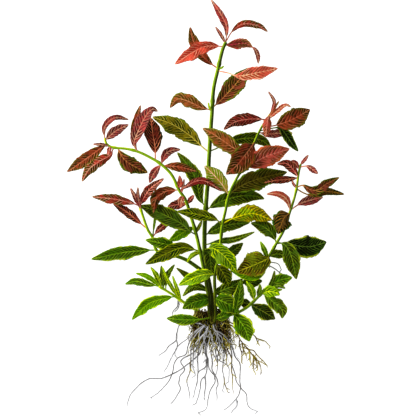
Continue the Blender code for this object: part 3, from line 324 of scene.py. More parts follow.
# Long grey roots, and stiffer olive ones that branch like twigs, from the crown outwards: x and y, and z
# where a root doesn't lie on the clump or the ground.
LONG_ROOTS = [
    "-5 -4.7, -5.6 -8.3, -9.1 -12.6, -13.4 -18.3, -14.9 -24.7, -20.5 -31.8, -29.3 -36.8, -32.4 -40, "
    "-32 -42.4, -28.6 -48, -33.6 -55.5, -34.5 -61.8, -33 -66.8, -36 -74, -41.8 -82",
    "-7 -14, -9.1 -20, -11.5 -26, -13.4 -32.6, -17 -36.1, -25.5 -43, -34.3 -49.3, -44.3 -54.3, -53 -57.1, "
    "-66.5 -58.3, -80.8 -70.6, -85.9 -81.3",
    "-8 -3, -17.7 -9.7, -21.3 -14.7, -22.7 -18.3, -25.5 -25.5, -27.4 -33, -35.5 -36.8, -39.3 -43, "
    "-40 -49.3, -43 -56.8, -48 -64.3, -55.5 -71.8, -63 -76.8",
    "-12 -2, -24 -1, -33.6 -3.6, -36.5 -11.8, -37 -18, -36 -23, -37 -28, -40.5 -34.3, -44.3 -41.8, -46.8 -47",
    "-36.5 -11.8, -37 -18.6, -44.3 -24.9, -48 -29.3, -53 -33.6",
    "-12 -5, -19 -12, -25.5 -17.4, -31.8 -21.8, -37.4 -27.4, -38 -34.3",
    "-8 -4, -14.5 -10, -19 -16, -21.8 -21.8, -22.4 -40.5, -23 -50.5, -25.5 -56.8, -26 -63, -23.3 -72.8",
    "-9.1 -12.6, -16 -20, -19.3 -26.8, -19.9 -38, -20.5 -45.5, -18.6 -50.5, -17.8 -54.3",
    "-9 -5, -12 -8.3, -14.1 -15.4, -13.6 -26.8, -15.5 -36.8, -14.9 -48, -16.1 -60.5, -19.3 -74.5",
    "-7 -38, -7.4 -45.5, -14.3 -50.5, -16 -61.8",
    "-5.6 -8.3, -9.1 -16.1, -7.7 -22.6, -8 -30, -6.1 -38, -6.1 -46.8, -8 -54.3, -11.8 -59.3, -12.8 -68, "
    "-16.8 -82",
    "-8 -54.3, -7.4 -65.5, -9.3 -76.8",
    "-4.9 -8.3, -2.7 -11.1, -3.5 -18, -6.3 -26.9, -6.3 -34, -4.9 -38, -4.5 -45.5, -2.4 -50, 1.4 -54.3, "
    "2 -60.5, -3 -70.5, -5.1 -78, -5.3 -83.6, -8 -89, -15.3 -92",
    "-2.7 -11.1, -0.6 -15.4, -1.3 -17.6, 0.9 -22.6, -2 -30, -0.5 -41.8, -1.1 -48, 3.3 -55.5, 5.1 -63, "
    "3.3 -68, 4.1 -76.3",
    "0.1 -2.6, 1.6 -7.6, 4.4 -11.1, 4.4 -14.7, 3 -21, 2 -28, 4.8 -41.8, 4.5 -48, 2.6 -54.5",
    "1.6 -7.6, 4.4 -11.1, 6.6 -13.3, 8.7 -15.4, 10 -22, 12 -30.5, 10.5 -39.3, 9.3 -48, 11 -55.5, 11 -63, "
    "8.9 -69.5",
    "4.4 -14.7, 7.3 -19, 9.4 -21.9, 6 -30, 4.5 -38, 13.3 -43, 16 -48, 15.8 -60.8",
    "3 -9, 9 -12, 14 -17, 16.4 -21.8, 18.9 -33, 18.9 -43, 22 -53, 23.3 -60.5, 28.3 -66.8, 33.3 -73, "
    "33.9 -80.5, 37 -86.8, 44.8 -90.8",
    "14 -17, 20 -28, 22.4 -35.8, 26.8 -41.8, 27.3 -49.3, 26.8 -60.5, 28 -65.5, 25.8 -74.3, 23.3 -78, "
    "18.3 -83, 12.6 -87.5",
    "23.3 -78, 24.1 -84.3, 19.5 -89.5",
    "-35 21.5 10, -36 15 7, -40 10.5 3",
    "-34 21 9.5, -34.5 15 6, -36.5 11 2.5",
    "55 57 16.5, 62 53 12, 70 47 7",
    "56 60 17.5, 65 58 13, 69 52 9",
]
TWIGS = [
    "11 -1, 19.5 -4.3, 23.3 -9.3, 27 -18, 32 -24.3, 37 -30.5, 43.3 -38, 49.5 -41.8, 54.5 -44.3",
    "23.3 -9.3, 24.5 -14.3",
    "27 -18, 26.4 -23, 28.9 -33, 28.9 -41",
    "29.5 -22, 30 -27, 33.3 -34.3",
    "32 -24.3, 36 -28, 40.8 -29.3, 44.5 -34.3, 49.5 -39.3, 53.9 -43.6",
    "40 -33, 42 -35.5, 47 -43, 48.3 -49.3",
    "43.3 -38, 45.1 -48",
    "37 -30.5, 37 -38, 38.5 -42",
    "40.8 -35.5, 40.8 -49.3",
    "16 0, 30 -7, 39.5 -12.4, 44.5 -16.8, 50.8 -19.3, 57.6 -24.5",
    "42 -14.5, 44 -18, 44.5 -21.8",
    "10 -16, 17 -21.8, 23.3 -23.6",
    "18 -6, 19.5 -9, 20.5 -14, 21 -18",
    "12 -20, 14.5 -28, 18.9 -38, 18.3 -48, 19.5 -56, 19.5 -65.5",
    "12 -26, 13.3 -30.5, 13.9 -42.4",
    "11 -55.5, 12 -63, 15.1 -71",
    "-3 -22, -0.5 -30.5, 5.1 -43",
    "2 -20, 4.5 -28, 7.6 -38",
    "-22 -36, -23 -43, -23.3 -50.5, -25.5 -58",
]

# Leaf shapes. The stalk and the rounded ridge of the midrib:
STALK_HALF_WIDTH = 0.7 * MM
STALK_THICKNESS = 1.2 * MM
MIDRIB_SPREAD = 0.8 * MM
# How far side veins lean to the tip, and the width in millimetres of a leaf with the usual relief:
VEIN_LEAN = 1.25
USUAL_WIDTH = 14
# The rim's slow bends and its teeth, each as a level that counts as even and a depth:
BENDS = (0.52, 14)
TEETH = (0.6, 1.3)
PATH_POINTS = 48
STEM_POINTS = 240

# Scales of the noise in the leaves, and the range over which each mark comes in, the midrib's in millimetres.
PATCH_SCALE = 120.0
MOTTLE_SCALE = 420.0
STREAK_SCALE = 55.0
TIP_PATCHES = (0.42, 0.68)
# The deeper streaks are partly random patches and partly painted shade beside the veins.
STREAKS_AND_PAINTED_SHADE = (-0.3, 0.4)
SIDE_VEINS = (0.04, 0.18)
MIDRIB_EDGE = (0.2, 0.65)
# Glints set where the veins show a painted highlight over their own pale colour.
GLINTS = (0.4, 0.62)
RIM = (0.78, 0.93)
RIM_BREAKS = (0.38, 0.52)

# The side of a stem that gets painted light, and the ranges in which painted shade gives way to green and
# green to painted sunlight.
PAINTED_LIGHT_SIDE = (-0.8, 0.45, 0.25)
STEM_PAINTED_SHADE_TO_GREEN = (-0.15, 0.4)
STEM_PAINTED_SUN = (0.5, 0.85)
AGED_LENGTH = 0.09
AGED_WIDTH = (0.007, 0.014)

# The clump that long roots lie on, in millimetres, and the least height of each kind of root's centre line.
CLUMP_MIDDLE = (-1, -4)
CLUMP_RADIUS = 34
CLUMP_HEIGHT = 18.5
STRAND_FLOOR = 0.75 * MM
ROOTLET_FLOOR = 0.6 * MM
LONG_ROOT_FLOOR = 0.85 * MM
# Scales of the noise that bends them:
STRAND_BENDS = 55.0
STRAND_KINKS = 190.0
ROOTLET_BENDS = 160.0
LONG_ROOT_BENDS = 110.0
LONG_ROOTLET_BENDS = 150.0

# The stage, in metres, and the width that the camera's frame shows at the middle of the plant's height.
FLOOR_HALF = 3.0
KEY_PLACE = (-1.3, 0.6, 0.95)
KEY_TARGET = (0, 0.11, 0)
KEY_SIZE = 0.7
PHOTO_MIDDLE = (-0.003, 0.112, 0.03)
PHOTO_WIDTH = 0.42
SENSOR = 36
WHITE = (1, 1, 1, 1)

FINISH_PARTS = ("base", "tip", "deep", "vein", "rim", "under")


def length_setting(name, description, millimetres):
    return bpy.props.FloatProperty(
        name=name, description=description, default=millimetres * MM, unit="LENGTH")


def share_setting(name, description, default):
    return bpy.props.FloatProperty(name=name, description=description, default=default, subtype="FACTOR")


def count_setting(name, description, default):
    return bpy.props.IntProperty(name=name, description=description, default=default)


def colour_setting(name, description, default):
    return bpy.props.FloatVectorProperty(
        name=name, description=description, default=default, subtype="COLOR", min=0, max=1)


def group_setting(name, description, kind):
    return bpy.props.PointerProperty(name=name, description=description, type=kind)


class FinishColours(bpy.types.PropertyGroup):
    """The six colours of one leaf finish."""

    base: colour_setting("Blade near the stalk", "Blade colour near stalk and midrib", (0.08, 0.17, 0.01))
    tip: colour_setting("Blade at the tip", "Blade colour towards the tip and the rim", (0.13, 0.25, 0.01))
    # Between the veins: the blade's own deeper patches, and painted shade that rises towards each next vein.
    deep: colour_setting("Between the veins", "Darkest colour, in patches between veins", (0.03, 0.05, 0.001))
    # The veins' own pale colour, which also serves as their painted highlight where the glint noise is high.
    vein: colour_setting("Veins", "Colour of the midrib and side veins", (0.35, 0.45, 0.02))
    rim: colour_setting("Rim", "Colour of the leaf's edge", (0.55, 0.62, 0.01))
    under: colour_setting("Underside", "Colour of the paler underside", (0.22, 0.33, 0.03))


class LeafSettings(bpy.types.PropertyGroup):
    """Sizes that all the leaf blades share."""

    blade: length_setting("Blade", "Thickness of the blade away from its midrib", 0.34)
    midrib: length_setting("Midrib", "Extra thickness along the midrib", 0.6)
    quilt: length_setting("Quilting", "Height of the swelling between two side veins", 0.8)
    ripple: length_setting("Ripple", "Height of the waves along the rim", 0.9)
    folding: bpy.props.FloatProperty(
        name="Folding", description="How many times the table's fold the blades fold up", default=2.0)
    scallop: share_setting("Scallops", "Depth of the rim's teeth as a share of the half width", 0.05)
    pairs_spacing: length_setting("Vein spacing", "Distance between side veins along the midrib", 3.9)
    rows: count_setting("Rows", "Rows of points along a full leaf", 76)
    columns: count_setting("Columns", "Points across a full leaf", 25)


class StemSettings(bpy.types.PropertyGroup):
    """How the stems' rods are formed."""

    fluting: share_setting("Fluting", "Depth of the grooves between the stem's four ridges", 0.1)
    node_swell: share_setting("Node swelling", "Extra girth at a node", 0.3)
    sides: count_setting("Sides", "Points round a stem", 16)


class RootSettings(bpy.types.PropertyGroup):
    """Numbers and sizes of the roots."""

    strands: count_setting("Clump roots", "Roots in the matted clump", 400)
    reach: length_setting("Clump reach", "Length of the clump's longest roots", 17)
    girth: length_setting("Clump root girth", "Radius of a clump root where it starts", 0.55)
    threads: count_setting("Threads", "Pale threads that run over the clump", 22)
    thread_reach: length_setting("Thread reach", "Length of the longest threads", 46)
    thread_girth: length_setting("Thread girth", "Radius of a thread where it starts", 0.42)
    long_girth: length_setting("Long root girth", "Radius of a long root where it starts", 0.76)
    seed: count_setting("Seed", "Which of the random tangles is grown", 7)


class StageSettings(bpy.types.PropertyGroup):
    """The floor, the lights and the camera."""

    floor: colour_setting("Floor", "Colour of the floor", (0.35, 0.35, 0.35))
    glow: bpy.props.FloatProperty(
        name="Floor glow", description="Light given by the floor, as by a light table", default=0.72, min=0)
    sky: bpy.props.FloatProperty(
        name="Sky", description="Strength of the even light from all round", default=0.66, min=0)
    key: bpy.props.FloatProperty(
        name="Key light", description="Power of the light at the upper left", default=30, unit="POWER")
    lens: bpy.props.FloatProperty(
        name="Lens", description="Focal length of the camera", default=500, unit="CAMERA")


class PlantSettings(bpy.types.PropertyGroup):
    """Everything that a user of the plant would change."""

    finishes: bpy.props.CollectionProperty(
        type=FinishColours, name="Finishes", description="The colours of each kind of leaf")
    leaf: group_setting("Leaves", "Sizes that the leaves share", LeafSettings)
    stem: group_setting("Stems", "How the stems' rods are formed", StemSettings)
    root: group_setting("Roots", "Amounts and sizes of the roots", RootSettings)
    stage: group_setting("Stage", "Floor, lights and camera", StageSettings)


class Reading:
    """The value of a node's socket. Arithmetic on it adds Math nodes."""

    def __init__(self, nodes, socket):
        self.nodes = nodes
        self.socket = socket

    def output(self, key):
        """Another output of the same node."""
        return Reading(self.nodes, self.nodes.find(self.socket.node.outputs, key))

    def __neg__(self):
        return self * -1

    def __abs__(self):
        return self.nodes.math("ABSOLUTE", self)


def arithmetic(operation, reflected):
    """A method that adds a Math node for a reading and another value, which comes first if reflected."""
    def method(self, other):
        return self.nodes.math(operation, *((other, self) if reflected else (self, other)))
    return method


for sign, operation in (
        ("add", "ADD"), ("sub", "SUBTRACT"), ("mul", "MULTIPLY"), ("truediv", "DIVIDE"), ("pow", "POWER")):
    setattr(Reading, f"__{sign}__", arithmetic(operation, False))
    setattr(Reading, f"__r{sign}__", arithmetic(operation, True))


class Nodes:
    """Adds nodes to one tree."""

    def __init__(self, tree):
        self.tree = tree

    def find(self, sockets, key):
        if isinstance(key, int):
            return sockets[key]
        return next(socket for socket in sockets if socket.name == key and socket.enabled)

    def feed(self, socket, value):
        """Links a reading or a list of them to the socket, or sets it to a plain value."""
        if isinstance(value, (Reading, list)):
            for each in value if isinstance(value, list) else [value]:
                self.tree.links.new(each.socket, socket)
        else:
            socket.default_value = value

    def add(self, kind, settings=None, sockets=None, output=0):
        """A node of that kind with its settings and its sockets' values or links, as one of its outputs."""
        node = self.tree.nodes.new(kind)
        for name, value in (settings or {}).items():
            setattr(node, name, value)
        for key, value in (sockets or {}).items():
            self.feed(self.find(node.inputs, key), value)
        return Reading(self, self.find(node.outputs, output))

    def math(self, operation, *values):
        return self.add("ShaderNodeMath", {"operation": operation}, dict(enumerate(values)))

    def clamped(self, value):
        return self.add("ShaderNodeClamp", sockets={"Value": value})

    def smooth(self, value, low, high):
        """0 below low, 1 above high and a smooth step between."""
        return self.add("ShaderNodeMapRange", {"interpolation_type": "SMOOTHSTEP"}, {
            0: value, 1: low, 2: high})

    def noise(self, place, scale, detail, output=0, dimensions="3D"):
        return self.add("ShaderNodeTexNoise", {"noise_dimensions": dimensions}, {
            "Vector": place, "Scale": scale, "Detail": detail}, output)

    def vector(self, operation, *values):
        return self.add("ShaderNodeVectorMath", {"operation": operation}, dict(enumerate(values)))

    def scaled(self, vector, factor):
        return self.add("ShaderNodeVectorMath", {"operation": "SCALE"}, {0: vector, 3: factor})

    def joined(self, x, y, z):
        return self.add("ShaderNodeCombineXYZ", sockets={0: x, 1: y, 2: z})

    def parts(self, vector):
        split = self.add("ShaderNodeSeparateXYZ", sockets={0: vector})
        return split, split.output(1), split.output(2)

    def mix(self, factor, low, high):
        """Colour low where factor is 0 and colour high where it is 1."""
        return self.add("ShaderNodeMix", {"data_type": "RGBA"}, {0: factor, 6: low, 7: high}, output=2)

    def attribute(self, name):
        return self.add("ShaderNodeAttribute", {"attribute_name": name}, output="Fac")

    def place(self):
        return self.add("GeometryNodeInputPosition")

    def along(self):
        return self.add("GeometryNodeSplineParameter")

    def stored(self, shape, name, value, kind="FLOAT", domain="POINT"):
        """The shape with an attribute of that name."""
        return self.add("GeometryNodeStoreNamedAttribute", {"data_type": kind, "domain": domain}, {
            "Geometry": shape, "Name": name, "Value": value})

    def named(self, name):
        return self.add("GeometryNodeInputNamedAttribute", {"data_type": "FLOAT"}, {"Name": name})

    def random(self, low, high, seed):
        """A random number for each element, between low and high."""
        return self.add("FunctionNodeRandomValue", {"data_type": "FLOAT"}, {
            "Min": low, "Max": high, "Seed": seed}, "Value")

    def moved(self, shape, place):
        return self.add("GeometryNodeSetPosition", sockets={"Geometry": shape, "Position": place})

    def both(self, first, second):
        return self.add("GeometryNodeJoinGeometry", sockets={0: [first, second]})

    def path(self, edges):
        return self.add("GeometryNodeMeshToCurve", sockets={"Mesh": edges})

    def ring(self, sides):
        return self.add("GeometryNodeCurvePrimitiveCircle", sockets={"Resolution": sides, "Radius": 1.0})

    def rod(self, path, ring, girth):
        return self.add("GeometryNodeCurveToMesh", sockets={
            "Curve": path, "Profile Curve": ring, "Scale": girth, "Fill Caps": True})

    def straight_roots(self, starts, points, turn, size):
        """A straight line of that many points from each start, turned and sized."""
        line = self.add("GeometryNodeCurvePrimitiveLine", sockets={"Start": (0, 0, 0), "End": (0, -1, 0)})
        line = self.add("GeometryNodeResampleCurve", sockets={"Curve": line, "Count": points})
        placed = self.add("GeometryNodeInstanceOnPoints", sockets={
            "Points": starts, "Instance": line, "Rotation": turn, "Scale": self.joined(size, size, size)})
        return self.add("GeometryNodeRealizeInstances", sockets={0: placed})

    def finish(self, shape, material):
        """Ends a tree: the shape as a smooth plain mesh in its material."""
        smooth = self.add("GeometryNodeSetShadeSmooth", sockets={0: shape})
        whole = self.add("GeometryNodeRealizeInstances", sockets={0: smooth})
        dressed = self.add("GeometryNodeSetMaterial", sockets={"Geometry": whole, "Material": material})
        self.feed(self.tree.nodes.new("NodeGroupOutput").inputs[0], dressed)


def colour_of(triple):
    """A 0 to 255 colour as the linear numbers that Blender mixes."""
    shares = (part / 255 for part in triple)
    return tuple(share / 12.92 if share < 0.039 else ((share + 0.055) / 1.055) ** 2.4 for share in shares)


def opaque(colour):
    return (*colour, 1)


def paint_of(triple):
    return opaque(colour_of(triple))


def places(text):
    """The points of a path that a table gives as text."""
    return [tuple(float(number) for number in point.split()) for point in text.split(",")]


def smooth_path(points, count):
    """count + 1 points, evenly spaced by chord length, on a smooth curve through the given points."""
    knots = [Vector(point) for point in points]
    times = [0.0]
    for a, b in zip(knots, knots[1:]):
        times.append(times[-1] + (b - a).length)
    last = len(knots) - 1
    slopes = []
    for i in range(last + 1):
        before, after = max(i - 1, 0), min(i + 1, last)
        slopes.append((knots[after] - knots[before]) / (times[after] - times[before]))
    path = []
    for step in range(count + 1):
        time = times[-1] * step / count
        i = min(max(k for k in range(last + 1) if times[k] <= time + 1e-9), last - 1)
        span = times[i + 1] - times[i]
        t = (time - times[i]) / span
        path.append(
            knots[i] * (2 * t**3 - 3 * t**2 + 1)
            + slopes[i] * span * (t**3 - 2 * t**2 + t)
            + knots[i + 1] * (3 * t**2 - 2 * t**3)
            + slopes[i + 1] * span * (t**3 - t**2)
        )
    return path


def length_of(points):
    return sum((Vector(b) - Vector(a)).length for a, b in zip(points, points[1:]))


def added(name, data):
    """A new object in the scene with that data."""
    thing = bpy.data.objects.new(name, data)
    bpy.context.scene.collection.objects.link(thing)
    return thing


def new_tree(name, **inputs):
    """A Geometry Nodes tree with these inputs of each kind and a material, and their readings by name."""
    tree = bpy.data.node_groups.new(name, "GeometryNodeTree")
    tree.interface.new_socket("Geometry", in_out="OUTPUT", socket_type="NodeSocketGeometry")
    labels = []
    for kind, names in {"Geometry": ["Geometry"], **inputs, "Material": ["Material"]}.items():
        for label in names:
            tree.interface.new_socket(label, in_out="INPUT", socket_type="NodeSocket" + kind)
            labels.append(label)
    nodes = Nodes(tree)
    entry = nodes.add("NodeGroupInput")
    return tree, nodes, {label: entry.output(label) for label in labels}


def shaped(name, mesh, tree, values):
    """An object at the origin with the plain mesh that the tree makes of the given one."""
    piece = added(name, mesh)
    growth = piece.modifiers.new("growth", "NODES")
    growth.node_group = tree
    for item in tree.interface.items_tree:
        if item.in_out == "INPUT" and item.name in values:
            growth[item.identifier] = values[item.name]
    graph = bpy.context.evaluated_depsgraph_get()
    made = bpy.data.meshes.new_from_object(
        piece.evaluated_get(graph), preserve_all_data_layers=True, depsgraph=graph)
    piece.modifiers.remove(growth)
    piece.data = made
    bpy.data.meshes.remove(mesh)
    return piece


def route(name, paths, girths=None):
    """A mesh of edges along each path, in metres, with a girth at each point."""
    corners, edges, radii = [], [], []
    for number, path in enumerate(paths):
        first = len(corners)
        corners.extend(Vector(point) * MM for point in path)
        edges.extend((first + i, first + i + 1) for i in range(len(path) - 1))
        if girths:
            radii.extend(girth * MM for girth in girths[number])
    mesh = bpy.data.meshes.new(name)
    mesh.from_pydata(corners, edges, [])
    if girths:
        mesh.attributes.new("girth", "FLOAT", "POINT").data.foreach_set("value", radii)
    return mesh


def leaf_tree():
    """A leaf along the path that it is given: a stalk, then a quilted blade with a grooved midrib."""
    tree, nodes, given = new_tree(
        "leaf on its midrib",
        Float=["Width", "Roll", "Fold", "Stalk", "Vein Pairs", "Blade", "Midrib", "Quilt", "Ripple",
               "Ripples", "Scallop", "Phase", "Twist", "Shade"],
        Int=["Rows", "Columns"])
    midrib = nodes.path(given["Geometry"])
    length = nodes.add("GeometryNodeCurveLength", sockets={"Curve": midrib})
    sheet = nodes.add("GeometryNodeMeshGrid", sockets={
        "Size X": 1.0, "Size Y": 2.0, "Vertices X": given["Rows"], "Vertices Y": given["Columns"]})
    x, y, _ = nodes.parts(nodes.place())
    u = x + 0.5
    v = -y * (abs(y) * 0.6 + 0.4)
    blade = nodes.clamped((u - given["Stalk"]) / (1 - given["Stalk"]))
    narrowing = nodes.clamped((blade - 0.5) * 2)
    oval = nodes.clamped(nodes.math("SINE", blade**0.92 * math.pi)) ** 0.9
    swell = oval * (1 - narrowing * narrowing * 0.3)
    point = nodes.clamped((1 - u) * 25) ** 0.5
    plain_half = (1 - swell) * point * STALK_HALF_WIDTH + given["Width"] * 0.5 * swell
    vein_start = abs(v) ** 1.2 * plain_half * VEIN_LEAN / (length * (1 - given["Stalk"]))
    rank = given["Vein Pairs"] * (blade - vein_start)
    which_side = nodes.math("SIGN", v)
    edge = nodes.joined(u * 6 + given["Phase"] * 3, which_side * 5, 0.0)
    wobble = nodes.noise(edge, 1.0, 2.0, dimensions="2D")
    teeth = abs(nodes.math("COSINE", rank * math.pi)) * -TEETH[1] + TEETH[0]
    shaped_edge = teeth * given["Scallop"] + (wobble - BENDS[0]) * BENDS[1] * given["Scallop"]
    half = plain_half * (1 + shaped_edge * abs(v) ** 3 * swell)
    lateral = half * v
    ridge = nodes.math("EXPONENT", -((lateral / MIDRIB_SPREAD) ** 2))
    cushions = abs(nodes.math("SINE", rank * math.pi)) ** 0.7 - 0.5
    quilted = cushions * given["Quilt"] * swell * (1 - abs(v) ** 6)
    waves = nodes.math("SINE", u * given["Ripples"] * (2 * math.pi) + given["Phase"] + which_side * 0.9)
    rippled = (waves + (wobble - 0.5) * 2) * given["Ripple"] * v * v * swell
    lift = nodes.math("SINE", given["Fold"]) * half * abs(v) ** 1.15 * nodes.clamped(swell * 2)
    raised = lift + quilted + rippled - ridge * given["Midrib"] * 0.6 * swell
    thick = (1 - swell) * STALK_THICKNESS + swell * (given["Blade"] + given["Midrib"] * ridge)
    ends = nodes.clamped((1 - u) * 30) ** 0.5 * nodes.clamped(u * 60) ** 0.5
    half_thick = thick * 0.5 * nodes.clamped(1 - v * v) ** 0.5 * ends

    centre = nodes.add("GeometryNodeSampleCurve", {"mode": "FACTOR", "use_all_curves": True}, {
        "Curves": midrib, "Factor": u}, output="Position")
    tangent = centre.output("Tangent")
    flat_side = nodes.vector("NORMALIZE", nodes.vector("CROSS_PRODUCT", tangent, (0, 0, 1)))
    flat_up = nodes.vector("CROSS_PRODUCT", flat_side, tangent)
    turn = given["Roll"] + given["Twist"] * (u - 0.4)
    turn_cos, turn_sin = nodes.math("COSINE", turn), nodes.math("SINE", turn)
    side = nodes.vector("ADD", nodes.scaled(flat_side, turn_cos), nodes.scaled(flat_up, turn_sin))
    up = nodes.vector("SUBTRACT", nodes.scaled(flat_up, turn_cos), nodes.scaled(flat_side, turn_sin))
    out = nodes.scaled(side, lateral * nodes.math("COSINE", given["Fold"]))
    spread = nodes.vector("ADD", centre, out)

    marked = sheet
    marks = {"along": blade, "across": v, "rank": rank, "lateral": lateral * 1000, "shade": given["Shade"]}
    for label, value in marks.items():
        marked = nodes.stored(marked, label, value)
    marked = nodes.stored(marked, "blade_map", nodes.joined(u, v * 0.5 + 0.5, 0), "FLOAT2", "CORNER")
    top, bottom = (
        nodes.moved(nodes.stored(marked, "underside", underside),
                    nodes.vector("ADD", spread, nodes.scaled(up, height)))
        for underside, height in ((0.0, raised + half_thick), (1.0, raised - half_thick))
    )
    bottom = nodes.add("GeometryNodeFlipFaces", sockets={0: bottom})
    closed = nodes.add("GeometryNodeMergeByDistance", sockets={
        "Geometry": nodes.both(top, bottom), "Distance": 2e-6})
    nodes.finish(closed, given["Material"])
    return tree


def stem_tree():
    """A ridged rod along each path, as thick as its girth."""
    tree, nodes, given = new_tree("ridged stem", Int=["Sides"], Float=["Fluting", "Foot Painted Light", "Tip Painted Light"])
    path = nodes.stored(nodes.path(given["Geometry"]), "along", nodes.along())
    place = nodes.place()
    x, y, _ = nodes.parts(place)
    ridges = nodes.math("COSINE", nodes.math("ARCTAN2", y, x) * 4)
    ring = nodes.stored(nodes.ring(given["Sides"]), "ridge", ridges * 0.5 + 0.5)
    ring = nodes.moved(ring, nodes.scaled(place, 1 + ridges * given["Fluting"]))
    rod = nodes.rod(path, ring, nodes.named("girth"))
    # Painted light: lighter on the side towards the key light, lighter still on the edges as a painted rim
    # highlight, plus what each stem adds at its foot and tip.
    normal = nodes.add("GeometryNodeInputNormal")
    painted_light_facing = nodes.vector("DOT_PRODUCT", normal, PAINTED_LIGHT_SIDE).output("Value")
    _, _, upward = nodes.parts(normal)
    added_painted_light = given["Foot Painted Light"] + (given["Tip Painted Light"] - given["Foot Painted Light"]) * nodes.named("along")
    rod = nodes.stored(rod, "sunlit", painted_light_facing * 0.5 + (0.55 - abs(upward)) * 0.9 + added_painted_light)
    nodes.finish(rod, given["Material"])
    return tree


def wandering(nodes, strands, amount, scale, floor):
    """The strands bent by smooth noise, more towards their tips, and kept above the surface."""
    place = nodes.place()
    noise = nodes.noise(place, scale, 2.0, output="Color")
    push = nodes.scaled(nodes.vector("SUBTRACT", noise, (0.5, 0.5, 0.5)), nodes.along() * amount)
    x, y, z = nodes.parts(nodes.vector("ADD", place, push))
    return nodes.moved(strands, nodes.joined(x, y, nodes.math("MAXIMUM", z, floor)))


def rootlets(nodes, strands, count, reach, seed):
    """Short side roots that leave the strands at random angles."""
    starts = nodes.add("GeometryNodeCurveToPoints", {"mode": "COUNT"}, {"Curve": strands, "Count": count})
    turn = nodes.joined(nodes.random(-0.5, 0.5, seed), 0.0, nodes.random(-1.1, 1.1, seed + 1))
    return nodes.straight_roots(starts, 6, turn, nodes.random(0.3, 1.0, seed + 2) * reach)


def tubes(nodes, strands, girth, sides, taper, seed):
    """The strands as tapered tubes, some stouter than others, with their share of length and a tone."""
    along = nodes.along()
    strands = nodes.stored(strands, "along", along)
    strands = nodes.stored(strands, "tone", nodes.random(0.0, 1.0, seed), domain="CURVE")
    stout = (1 - along * taper) * girth * (nodes.named("tone") * 0.5 + 0.75)
    return nodes.rod(strands, nodes.ring(sides), stout)


def strand_tree():
    """Strands that start in a box over the crown and fan out from it, with rootlets."""
    tree, nodes, given = new_tree(
        "fanned strands",
        Int=["Strands", "Rootlets", "Seed"], Vector=["Low", "High"],
        Float=["Reach", "Girth", "Fan", "Dip", "Wander", "Rootlet Reach"])
    seed = given["Seed"]
    low, high = nodes.parts(given["Low"]), nodes.parts(given["High"])
    spot = nodes.joined(*(nodes.random(a, b, seed + i) for i, (a, b) in enumerate(zip(low, high))))
    starts = nodes.add("GeometryNodePoints", sockets={"Count": given["Strands"], "Position": spot})
    start_x, _, _ = nodes.parts(nodes.place())
    turn = nodes.joined(
        given["Dip"] + nodes.random(-0.2, 0.3, seed + 4), 0.0,
        nodes.random(-0.4, 0.4, seed + 5) + start_x * given["Fan"])
    strands = nodes.straight_roots(starts, 18, turn, nodes.random(0.4, 1.0, seed + 6) * given["Reach"])
    strands = wandering(nodes, strands, given["Wander"], STRAND_BENDS, STRAND_FLOOR)
    strands = wandering(nodes, strands, given["Wander"] * 0.4, STRAND_KINKS, STRAND_FLOOR)
    side = rootlets(nodes, strands, given["Rootlets"], given["Rootlet Reach"], seed + 7)
    side = wandering(nodes, side, 6 * MM, ROOTLET_BENDS, ROOTLET_FLOOR)
    thick = tubes(nodes, strands, given["Girth"], sides=5, taper=0.6, seed=seed + 12)
    thin = tubes(nodes, side, given["Girth"] * 0.7, sides=4, taper=0.6, seed=seed + 13)
    nodes.finish(nodes.both(thick, thin), given["Material"])
    return tree


def long_root_tree():
    """Long roots along their routes, with rootlets."""
    tree, nodes, given = new_tree(
        "long roots", Float=["Girth", "Rootlet Reach", "Wander"], Int=["Rootlets", "Seed"])
    seed = given["Seed"]
    roots = wandering(nodes, nodes.path(given["Geometry"]), given["Wander"], LONG_ROOT_BENDS, LONG_ROOT_FLOOR)
    side = rootlets(nodes, roots, given["Rootlets"], given["Rootlet Reach"], seed)
    side = wandering(nodes, side, 5 * MM, LONG_ROOTLET_BENDS, ROOTLET_FLOOR)
    thick = tubes(nodes, roots, given["Girth"], sides=7, taper=0.35, seed=seed + 12)
    thin = tubes(nodes, side, given["Girth"] * 0.65, sides=4, taper=0.5, seed=seed + 13)
    nodes.finish(nodes.both(thick, thin), given["Material"])
    return tree


def new_material(name, roughness, specular):
    """A material and its nodes, with the shader's even values set on it."""
    material = bpy.data.materials.new(name)
    material.use_nodes = True
    shader = material.node_tree.nodes["Principled BSDF"]
    shader.inputs["Roughness"].default_value = roughness
    shader.inputs["Specular IOR Level"].default_value = specular
    return material, Nodes(material.node_tree), shader


def paint(nodes, shader, colour, roughness, height, strength, distance):
    """Feeds the shader its colour and roughness, and bumps its surface by a height from 0 to 1."""
    nodes.feed(shader.inputs["Base Color"], colour)
    nodes.feed(shader.inputs["Roughness"], roughness)
    bump = nodes.add("ShaderNodeBump", sockets={"Strength": strength, "Distance": distance, "Height": height})
    nodes.feed(shader.inputs["Normal"], bump)


